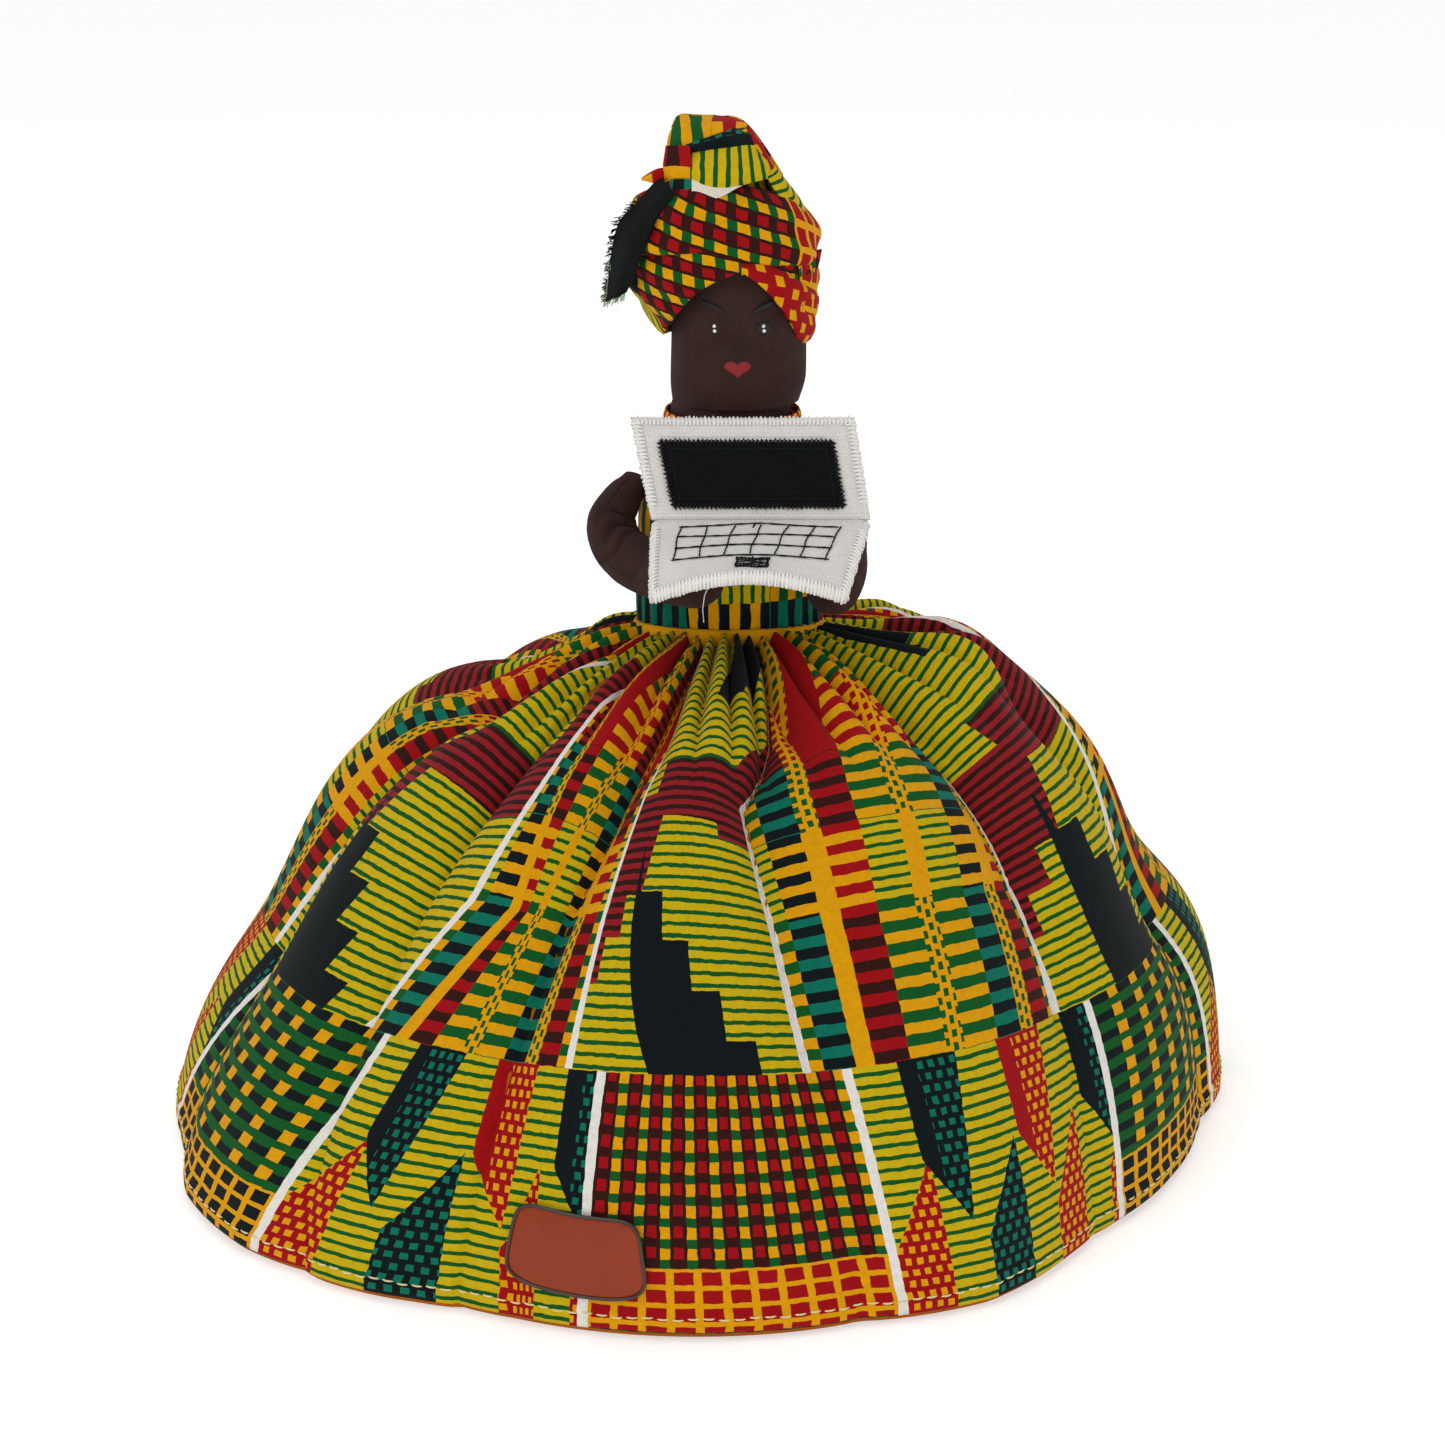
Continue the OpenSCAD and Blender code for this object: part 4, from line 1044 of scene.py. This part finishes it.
class DOLL_OT_wrap(bpy.types.Operator):
    """Winds the head wrap: crown, winds, top fold, tail, tucked end and knot"""
    bl_idname = "doll.wrap"
    bl_label = "Head wrap"

    def execute(self, context):
        everywhere = (OPENING_AT, OPENING)
        crown = wound("wrap_crown_cloth", (OPENING_AT, tuple(z + 6 for z in OPENING)),
                      ((-180, 180), (295, 295)), -179.9, 179.9, -2.2, 0, 0.15, (292, 60),
                      up=60, seed=4, node=("wrap_crown",))
        lower = wound("wrap_lower_wind", everywhere, ((-180, -60, 0, 60, 180), (262, 268, 266, 258, 260)),
                      -179.9, 179.9, 0.2, 1.5, 0.27, (254.7, 44), across=300, seed=7,
                      node=("wrap_left_band",), lean=0.1)
        upper = wound("wrap_upper_wind",
                      ((-95, -60, -10, 30, 62, 78, 95), (254, 259, 261.5, 257.5, 256, 257, 259)),
                      ((-95, -40, 20, 60, 95), (272, 281, 279, 276, 270)),
                      -90, 92, 1.9, 1.9, 0.36, (281, 41.5), seed=11, lean=-0.05)
        right = wound("wrap_right_wind", (OPENING_AT, tuple(z - 0.6 for z in OPENING)),
                      ((0, 14, 30, 45, 60, 90, 130, 180), (256, 258.4, 258, 254.6, 250.5, 247, 245, 243)),
                      13, 176, 1.2, 1.2, 0.3, (250, 30), "dotted", seed=15, node=("wrap_right_band",))
        ear = make_piece("wrap_tucked_end", [patch(
            (((25.5, -13, 258), (27.5, -9, 259), (33.2, -4, 259.6)),
             ((26.3, -12.5, 252), (29.5, -8, 253), (31.6, -4, 254)),
             ((26, -11.5, 246), (27.6, -8.5, 246), (28, -6, 245.6))), (-20, 22), (-7, 36), 3)],
            "print", "head")
        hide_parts("wrap_end")

        stripes = patch((
            ((-4, -16, 279.6), (2, -18.5, 278.6), (8, -19, 279), (14, -16.5, 280.2), (19, -11, 280.6)),
            ((-4, -17, 284), (2, -20.2, 284), (8, -20.8, 284.5), (13.8, -17.5, 285), (18, -10.5, 285)),
            ((-4, -12.5, 288), (2, -14.5, 289.2), (8, -14.8, 289.9), (12.8, -12.4, 290), (16, -8, 289))),
            (-48, 70.8), (-38.5, 93), 1, 0.2, 60, 30, turned=True)
        night = patch((((-5.2, -12.6, 287.6), (1.5, -14.6, 289), (8, -14.9, 289.8), (14, -11, 289.8)),
                       ((-5.2, -12.8, 289.4), (1.2, -13.6, 291), (7.4, -13.2, 292.4), (12.8, -9.4, 292.4)),
                       ((-5, -10, 290.6), (1, -11.2, 292.6), (7, -10.4, 294.2), (11.2, -7, 294.6))),
                      (57.5, 45.8), (66.2, 65.6), 2, 0.2, turned=True)
        left = patch((((-11.4, -10, 279.8), (-7.5, -14.2, 279.8), (-3.6, -16.6, 280.4)),
                      ((-11.8, -11, 284.5), (-7.5, -14.6, 285), (-3.6, -16.8, 285)),
                      ((-11, -9.5, 289.4), (-7.6, -12, 289.7), (-4, -13.4, 289.8))),
                     (45.9, 99.6), (57.5, 107), 3, 0.3, turned=True)
        bars = patch((((-11.2, -7.5, 286.5), (-6, -11.5, 289.6), (-1.4, -11.8, 291.4), (3, -11.6, 292.8)),
                      ((-10.4, -5, 291), (-6.4, -7.6, 293.6), (-1.8, -7.8, 294.8), (3, -8, 295.4)),
                      ((-9.4, -1, 293.4), (-7, 0, 297.2), (-2, 0, 297), (3, -0.5, 297))),
                     (79, 96.3), (89.5, 110.6), 4, 0.25, turned=True)
        top = patch((((2, -12, 292.6), (7, -10.8, 294), (12, -7.2, 294.4)),
                     ((2, -7.5, 295.6), (7, -7, 296), (11.8, -4.6, 295.2)),
                     ((2, 0, 297), (7, -0.5, 296.2), (11.4, 0, 294.4))), (0, 0.5), (9, 4), 5, 0.3)
        edge = patch((((10.4, -9.4, 293.6), (14.6, -11.5, 288), (18.3, -12, 280.2)),
                      ((12.6, -6.5, 294.2), (17, -8, 288), (20.8, -8.4, 281)),
                      ((12.4, 0, 293.5), (17.6, -1, 286.6), (22, -1, 280))), (0, 0), (16, 9), 6, 0.3)
        slope = patch((((17.6, -12.6, 282), (20.5, -13, 276.6), (25.8, -10, 269.5)),
                       ((19.8, -9.6, 283.4), (23.4, -9.6, 277.2), (28.4, -7, 270.4)),
                       ((19, -2, 284), (23, -1.6, 278.8), (27.8, -0.5, 272.6))),
                      (-47, 72), (-36, 90), 7, 0.3, turned=True)
        back = patch((((-9.4, -1, 293.4), (-7, 0, 297.2), (3, -0.5, 297), (11.4, 0, 294.4), (22, -1, 280)),
                      ((-8, 6, 290), (-4, 7, 293.4), (4, 7.4, 293), (11, 7, 290), (19, 8, 277)),
                      ((-9, 12, 278), (-3, 14, 280), (4, 15, 280), (11, 14, 278), (16, 13, 270))),
                     (-36, 24), (-10, 50), 8, 0.5, 60, 36)
        fold = make_piece("wrap_top_fold_cloth", [stripes, night, left, bars, slope, back], "print",
                          "head")
        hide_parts("wrap_top_fold")
        make_piece("wrap_top_fold_red", [top, edge], "dotted", "head")
        squares = patch((((-10, -14.5, 272), (-6.5, -17.5, 269.2), (-3.6, -19, 272.4)),
                         ((-9.8, -14.5, 276), (-6.3, -17.4, 275), (-3, -18.6, 276)),
                         ((-9.6, -13.5, 280.6), (-6, -16, 281), (-2.8, -17, 281))),
                        (35, 99.6), (44.8, 107), 9, 0.2, turned=True)
        make_piece("wrap_loose_corner", [squares], "print", "head")
        inside = patch((((-3.6, -18.4, 276.6), (3, -20, 276.1), (9, -19, 278.8), (12, -17, 280)),
                        ((-3.6, -17, 281), (3, -18.4, 281), (9, -18.2, 281), (12, -16, 281.5))),
                       (0, 0), (15, 5), 10, 0.15)
        leaf = patch((((-17.9, -8, 279.7), (-14, -10, 279), (-10.5, -10.5, 280)),
                      ((-17.9, -8, 280), (-14.2, -10.6, 281.1), (-10.6, -11, 281.8)),
                      ((-17.8, -8, 280.3), (-13.8, -9.5, 282.8), (-10.4, -10, 283.4))),
                     (0, 0), (7, 3), 11, 0.1)
        make_piece("wrap_lining_edge", [inside], "calico", "head")
        make_piece("wrap_leaf_tip", [leaf], "dotted", "head")

        left_edge = ((-12.5, -10, 281), (-19, -10, 274), (-24.6, -9, 268), (-26.8, -7, 258), (-28.2, -4, 244.6))
        right_edge = ((-8.6, -17.5, 277), (-13.6, -18.6, 270.5), (-16.8, -19, 263.5), (-19.4, -16.5, 256),
                      (-22.6, -11, 248))
        middle = [tuple(0.5 * (p + q) + d for p, q, d in zip(m, n, (0, -1.2, 0)))
                  for m, n in zip(left_edge, right_edge)]
        tail = make_piece("wrap_tail_cloth", [patch((left_edge, middle, right_edge), (0, 0), (34, 10), 12, 0.45)],
                          "screen", "head")
        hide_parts("wrap_tail")
        make_piece("wrap_tail_fringe", frayed(left_edge[1:], (-1, -0.4, 0.1), 110, 1.9, 5), "black_thread",
                   "head")
        make_piece("wrap_tail_fringe_green", frayed(
            (left_edge[3], left_edge[4], right_edge[4]), (-0.5, -0.4, -0.8), 70, 1.9, 6),
            "green_thread", "head")
        pale = patch((((-16.4, -13.6, 268), (-12.6, -16, 267.8), (-9, -17, 268.6)),
                      ((-15.4, -13, 272), (-12, -15.4, 272), (-8.8, -16.6, 272)),
                      ((-13.6, -12, 276), (-11, -14, 277), (-8.6, -15.6, 277))), (0, 0), (8, 8), 13, 0.3)
        make_piece("wrap_frayed_corner", [pale] + frayed(
            ((-16.4, -13.6, 268), (-9, -17, 268.6)), (0, -0.2, -1), 40, 1.6, 7), "calico", "head")

        a, b = np.meshgrid(np.linspace(0, 2 * np.pi, 64, endpoint=False),
                           np.linspace(0.04, np.pi - 0.04, 34))
        lump = 1 + 0.1 * np.sin(3 * a + 2 * b) + 0.06 * np.sin(7 * a - 3 * b)
        points = np.stack([8 + 9 * lump * np.sin(b) * np.cos(a), 13 + 6 * lump * np.sin(b) * np.sin(a),
                           276 + 6.4 * lump * np.cos(b)], -1)
        knot = make_piece("wrap_knot_cloth", [closed_form(points, np.stack([a * 7, b * 7 + 30], -1), True)],
                          "print", "head")
        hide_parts("wrap_knot")
        return {"FINISHED"}


# ---------------------------------------------------------------- laptop

def base_point(u, v, h):
    """A point of the lower panel: u from -1 to 1 across, v from 0 at the fold to 1 in front."""
    laptop = bpy.context.scene.doll_laptop
    fall = laptop.fall + laptop.droop * u * u * (0.35 + 0.65 * v)
    x0, y0, z0 = (c / MM for c in laptop.fold)
    long, wide = laptop.base_length / MM, laptop.width / MM
    return np.stack(np.broadcast_arrays(
        x0 - 3.7 * v + u * wide / 2 * (1 - 0.11 * v) + h * 0.25 * u * math.sin(laptop.droop) * v,
        y0 - long * v * np.cos(fall) - h * np.sin(fall), z0 - long * v * np.sin(fall) + h * np.cos(fall)), -1)


def lid_point(u, v, h):
    """A point of the lid: u from -1 to 1 across, v from 0 at the fold to 1 at the top."""
    laptop = bpy.context.scene.doll_laptop
    x0, y0, z0 = (c / MM for c in laptop.fold)
    long, wide = laptop.lid_length / MM, laptop.width / MM
    c, s = math.cos(laptop.lid_angle), math.sin(laptop.lid_angle)
    x = x0 + u * (wide / 2 + 0.7 * v) - 5 * v
    h = h - 0.9 * (1 - u * u) * v
    return np.stack(np.broadcast_arrays(x, y0 + long * v * c - h * s, z0 + long * v * s + h * c), -1)


def knitted_panel(point, length, across=150, up=72):
    """A panel of two knitted layers: soft rounded rims, plump in the middle."""
    laptop = bpy.context.scene.doll_laptop
    wide, long, thick = laptop.width / MM, length / MM, laptop.thickness / MM
    rim_u, rim_v = 1 + SIDE_RIM / wide, 1 + FRONT_RIM / long
    u, v = np.meshgrid(np.linspace(-rim_u, rim_u, across), np.linspace(0.012, rim_v, up))
    # e is the distance from the nearest free edge
    e = np.minimum((rim_u - np.abs(u)) * wide / 2, (rim_v - v) * long)
    swell = np.sqrt(np.clip(1 - (1 - np.clip(e / 1.8, 0, 1)) ** 2, 0, 1))
    rows = 0.09 * np.sin(u * wide / 2 * 2 * np.pi / 1.35) * np.sin(v * long * 2 * np.pi / 1.1)
    rim = 0.35 * np.exp(-((e - 1.1) / 0.9) ** 2)
    half = thick / 2
    hollow = 0.5 * np.exp(-(v * long / 1.6) ** 2)
    top = point(u, v, -half + (half + rim) * swell + rows * (e > 0.5) - hollow)
    under = point(u, v, -half - (half + rim) * swell - rows * (e > 0.5))
    return closed_pair(top, under, np.stack([u * wide / 2, v * long], -1))


def overlock(point, length, seed):
    """Loops of thread over the three free edges of a panel."""
    laptop = bpy.context.scene.doll_laptop
    draw = np.random.default_rng(seed)
    wide, long, thick = laptop.width / MM, length / MM, laptop.thickness / MM
    reach_u, start = 1.03 + SIDE_RIM / wide, 0.13
    # each free edge: its two ends and the way out of the panel
    edges = ((-1, start, -1, 1, -1, 0), (-1, 1, 1, 1, 0, 1), (1, 1, 1, start, 1, 0))
    loops = []
    for u0, v0, u1, v1, nu, nv in edges:
        far = math.hypot((u1 - u0) * wide / 2, (v1 - v0) * long)
        for i in range(int(far / (laptop.loop / MM))):
            k = (i + 0.5) * laptop.loop / MM / far
            u, v = u0 + (u1 - u0) * k, v0 + (v1 - v0) * k
            lean, reach = draw.uniform(0.2, 0.9), draw.uniform(0.9, 1.35)
            path = []
            for inward, h, along in ((1.5, 0.42, 0), (0.6, 0.62, 0.4), (-reach, -thick * 0.35, 0.6),
                                     (-reach, -thick * 0.7, 0.6), (0.6, -thick - 0.5, 1)):
                du = -nu * inward * 2 / wide + (lean * along * 2 / wide if nv else 0)
                dv = -nv * inward / long + (0 if nv else lean * along / long)
                path.append(point(np.float64(np.clip(u + du, -reach_u, reach_u)),
                                  np.float64(v + dv), np.float64(h)))
            loops.append(tube(path, 0.34, 5))
    return loops


class DOLL_OT_laptop(bpy.types.Operator):
    """Sews the laptop: two knitted panels, keyboard, touchpad, screen patch and overlocked edges"""
    bl_idname = "doll.laptop"
    bl_label = "Laptop"

    def execute(self, context):
        laptop = context.scene.doll_laptop
        base = make_piece("laptop_base_knitted", [knitted_panel(base_point, laptop.base_length)], "knit",
                          "right_arm")
        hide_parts("laptop_base")
        edge = make_piece("base_overlock", overlock(base_point, laptop.base_length, 2), "white_thread",
                          "right_arm")
        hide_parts("base_edging")
        lid = make_piece("laptop_lid_knitted", [knitted_panel(lid_point, laptop.lid_length)], "knit",
                         "lid")
        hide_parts("laptop_lid")
        edge = make_piece("lid_overlock", overlock(lid_point, laptop.lid_length, 3), "white_thread",
                          "lid")
        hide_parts("lid_edging")

        u = np.linspace(-0.985, 0.985, 60)
        x0, y0, z0 = (c / MM for c in laptop.fold)
        wide = laptop.width / MM
        line = np.stack([x0 + u * wide / 2, np.full(60, y0 + 1.35), np.full(60, z0 - 1.5)], 1)
        fold = make_piece("laptop_fold_knitted", [tube(line, 1.35, 20)], "knit")
        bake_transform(fold)

        def sewn(u, v, seed, width=0.5):
            """A line of black stitches on the lower panel, a little uneven."""
            draw = np.random.default_rng(seed)
            t = np.linspace(0, 1, 25)
            u = np.interp(t, np.linspace(0, 1, len(u)), u) + 0.006 * np.sin(t * 9 + draw.uniform(0, 6))
            v = np.interp(t, np.linspace(0, 1, len(v)), v) + 0.008 * np.sin(t * 7 + draw.uniform(0, 6))
            return tube(base_point(u, v, 0.3 + 0.05 * np.sin(t * 60)),
                        width / 2 * (0.85 + 0.25 * np.sin(t * 55)), 6)

        left, right, back, front = -0.76, 0.76, 0.13, 0.62
        keys = []
        for j in range(4):
            v = back + (front - back) * j / 3
            sag = (0, 0.015 * (j - 1), 0.03 * (j - 1.5), 0.015 * (j - 1), 0)
            keys.append(sewn((left - 0.02 * j, right), [v + s for s in sag], j))
        for i in range(7):
            u = left + (right - left) * i / 6
            keys.append(sewn((u + 0.02, u - 0.02, u - 0.035), (back - 0.01, front + 0.02), 20 + i))
        keyboard = make_piece("keyboard_stitches", keys, "black_thread", "right_arm")
        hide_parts("keyboard_stitching")
        pad = []
        for j, v in enumerate((0.715, 0.745, 0.775, 0.805, 0.835, 0.86)):
            pad.append(sewn((-0.15, 0.17), (v, v + 0.006), 40 + j, 0.62 if j in (0, 5) else 0.42))
        for i, u in enumerate((-0.15, -0.07, 0.01, 0.09, 0.17)):
            pad.append(sewn((u, u), (0.705, 0.87), 50 + i, 0.7 if i in (0, 2, 4) else 0.35))
        touch = make_piece("touchpad_stitches", pad, "black_thread", "right_arm")
        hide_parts("touchpad")
        tick = make_piece("fold_tick_stitch", [tube(base_point(
            np.array([-0.06, -0.05, -0.045]), np.array([0.15, 0.1, 0.07]), np.array([0.0, 0.1, 0.0])), 0.26, 6)],
            "black_thread", "right_arm")
        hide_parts("fold_tick")

        long = laptop.lid_length / MM
        low, high, half = 3.6 / long, 22.4 / long, 23.9 * 2 / wide

        def slant(v):
            """How far the patch leans to one side at v."""
            return -0.4 * 2 / wide * (v - low)
        u, v = np.meshgrid(np.linspace(-half, half, 70), np.linspace(low, high, 34))
        edge = np.minimum((half - np.abs(u)) * wide / 2, np.minimum(v - low, high - v) * long)
        rise = 0.25 + 0.55 * smooth(0, 1.6, edge) - 0.22 * np.exp(-((edge - 2.2) / 0.4) ** 2)
        rise = rise + 0.08 * ripple(u * 30, v * 20, 4, 5)
        part = thick_sheet(lid_point(u + slant(v), v, rise), np.stack([u * wide / 2, v * long], -1), 0.25)
        screen = make_piece("screen_patch_cloth", [part], "screen", "lid")
        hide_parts("screen_patch")
        draw = np.random.default_rng(8)
        stitches, run = [], []
        around = (((-half, low), (half, low), 0, -1), ((half, low), (half, high), 1, 0),
                  ((half, high), (-half, high), 0, 1), ((-half, high), (-half, low), -1, 0))
        for (u0, v0), (u1, v1), nu, nv in around:
            far = math.hypot((u1 - u0) * wide / 2, (v1 - v0) * long)
            count = int(far / 1.25)
            zig = []
            for i in range(2 * count + 1):
                k = i / (2 * count)
                out = (0.75 if i % 2 else -0.75) + draw.uniform(-0.2, 0.2)
                zig.append((u0 + (u1 - u0) * k + nu * out * 2 / wide, v0 + (v1 - v0) * k + nv * out / long))
            zig = np.array(zig)
            stitches.append(tube(lid_point(zig[:, 0] + slant(zig[:, 1]), zig[:, 1], 0.62), 0.3, 5))
            for i in range(int(far / 1.1)):
                k = (i + 0.5) / int(far / 1.1)
                u, v = u0 + (u1 - u0) * k - nu * 0.3 * 2 / wide, v0 + (v1 - v0) * k - nv * 0.3 / long
                ends = np.array([[u - nu * 0.8 * 2 / wide, v - nv * 0.8 / long],
                                 [u + nu * 0.7 * 2 / wide, v + nv * 0.7 / long]])
                run.append(tube(lid_point(ends[:, 0] + slant(ends[:, 1]), ends[:, 1], 0.66), 0.3, 5))
        zigzag = make_piece("screen_zigzag_stitches", stitches + run, "black_thread", "lid")
        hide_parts("screen_zigzag")
        inner = []
        for (u0, v0), (u1, v1), nu, nv in around:
            a = np.linspace(0.05, 0.95, 30)
            u, v = u0 + (u1 - u0) * a - nu * 2.2 * 2 / wide, v0 + (v1 - v0) * a - nv * 2.2 / long
            inner.append(tube(lid_point(u + slant(v), v, 0.66 + 0.06 * np.sin(a * 90)), 0.2, 5))
        make_piece("screen_inner_stitches", inner, "black_thread", "lid")
        thread = np.array([(5, -62.6, 177.6), (3.4, -62, 176.2), (1, -61, 175.4), (0, -60, 172.5),
                           (-0.5, -59, 168.5), (-0.2, -58.6, 164.5)])
        make_piece("loose_thread", [tube(thread, 0.11, 5)], "white_thread", "right_arm")
        return {"FINISHED"}


class DOLL_OT_inside(bpy.types.Operator):
    """Gives the parts inside, kept from the plan, the look of board, calico and filling"""
    bl_idname = "doll.inside"
    bl_label = "Inside parts"

    def execute(self, context):
        looks = {"base_board": "board", "ballast_bag": "sand_bag", "column_cover": "column",
                 "petticoat_band": "net", "column_filling": "filling", "torso_cover": "column",
                 "torso_stuffing": "filling", "right_hand_tack": "cream_thread"}
        for node, look in looks.items():
            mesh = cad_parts[node].data
            mesh.materials.clear()
            mesh.materials.append(material(look))
        return {"FINISHED"}


# ---------------------------------------------------------------- stage

class DOLL_OT_stage(bpy.types.Operator):
    """Lays the plain floor and sets up the camera and the soft light"""
    bl_idname = "doll.stage"
    bl_label = "Floor, light and camera"

    def execute(self, context):
        stage = context.scene.doll_stage
        floor = bpy.data.meshes.new("floor")
        corners = [(x * FLOOR_HALF, y * FLOOR_HALF, -FLOOR_DROP)
                   for x, y in ((-1, -1), (1, -1), (1, 1), (-1, 1))]
        floor.from_pydata(corners, [], [(0, 1, 2, 3)])
        floor.materials.append(material("floor"))
        floor = bpy.data.objects.new("floor", floor)
        context.scene.collection.objects.link(floor)
        # each softbox: where it stands, its side in metres and its power in watts
        for name, at, side, power in (("key", (-0.9, -1.3, 1.6), 1.2, 8),
                                      ("fill", (1.4, -1.1, 1.1), 1.4, 1.5),
                                      ("top", (0.0, 0.5, 1.9), 1.6, 5)):
            light = bpy.data.lights.new(name + "_softbox", "AREA")
            light.size, light.energy = side, power
            lamp = bpy.data.objects.new(name + "_softbox", light)
            lamp.location = at
            lamp.rotation_euler = (Vector((0, 0, 0.13)) - Vector(at)).to_track_quat("-Z", "Y").to_euler()
            context.scene.collection.objects.link(lamp)
        world = bpy.data.worlds.new("pale_room")
        world.use_nodes = True
        world.node_tree.nodes["Background"].inputs["Color"].default_value = (1, 1, 1, 1)
        world.node_tree.nodes["Background"].inputs["Strength"].default_value = 0.6
        context.scene.world = world
        camera = bpy.data.cameras.new("camera")
        camera.lens, camera.sensor_width, camera.clip_end = stage.lens, 36, 20
        eye = bpy.data.objects.new("camera", camera)
        eye.location = stage.camera_at
        aim = Vector(stage.camera_aim) - Vector(stage.camera_at)
        eye.rotation_euler = aim.to_track_quat("-Z", "Y").to_euler()
        context.scene.collection.objects.link(eye)
        context.scene.camera = eye
        context.scene.view_settings.view_transform = "Standard"
        return {"FINISHED"}


STEPS = (DOLL_OT_skirt, DOLL_OT_label, DOLL_OT_bodice, DOLL_OT_arms, DOLL_OT_head, DOLL_OT_wrap,
         DOLL_OT_laptop, DOLL_OT_inside, DOLL_OT_stage)
GROUPS = {"doll_cloth": ClothSettings, "doll_skirt": SkirtSettings, "doll_body": BodySettings,
          "doll_laptop": LaptopSettings, "doll_stage": StageSettings}


class DOLL_PT_steps(bpy.types.Panel):
    """The steps that build the doll, and their sizes and colours"""
    bl_idname = "DOLL_PT_steps"
    bl_label = "Cloth doll with laptop"
    bl_space_type = "VIEW_3D"
    bl_region_type = "UI"
    bl_category = "Doll"

    def draw(self, context):
        for step in STEPS:
            self.layout.operator(step.bl_idname)
        for group, kind in GROUPS.items():
            box = self.layout.box()
            box.label(text=kind.__doc__)
            for name in kind.__annotations__:
                box.prop(getattr(context.scene, group), name)


def register():
    for kind in (*GROUPS.values(), *STEPS, DOLL_PT_steps):
        bpy.utils.register_class(kind)
    for name, kind in GROUPS.items():
        setattr(bpy.types.Scene, name, PointerProperty(type=kind))


def unregister():
    for name in GROUPS:
        delattr(bpy.types.Scene, name)
    for kind in (DOLL_PT_steps, *STEPS, *GROUPS.values()):
        bpy.utils.unregister_class(kind)


def main():
    register()
    for step in STEPS:
        group, name = step.bl_idname.split(".")
        getattr(getattr(bpy.ops, group), name)()


if __name__ == "__main__":
    main()
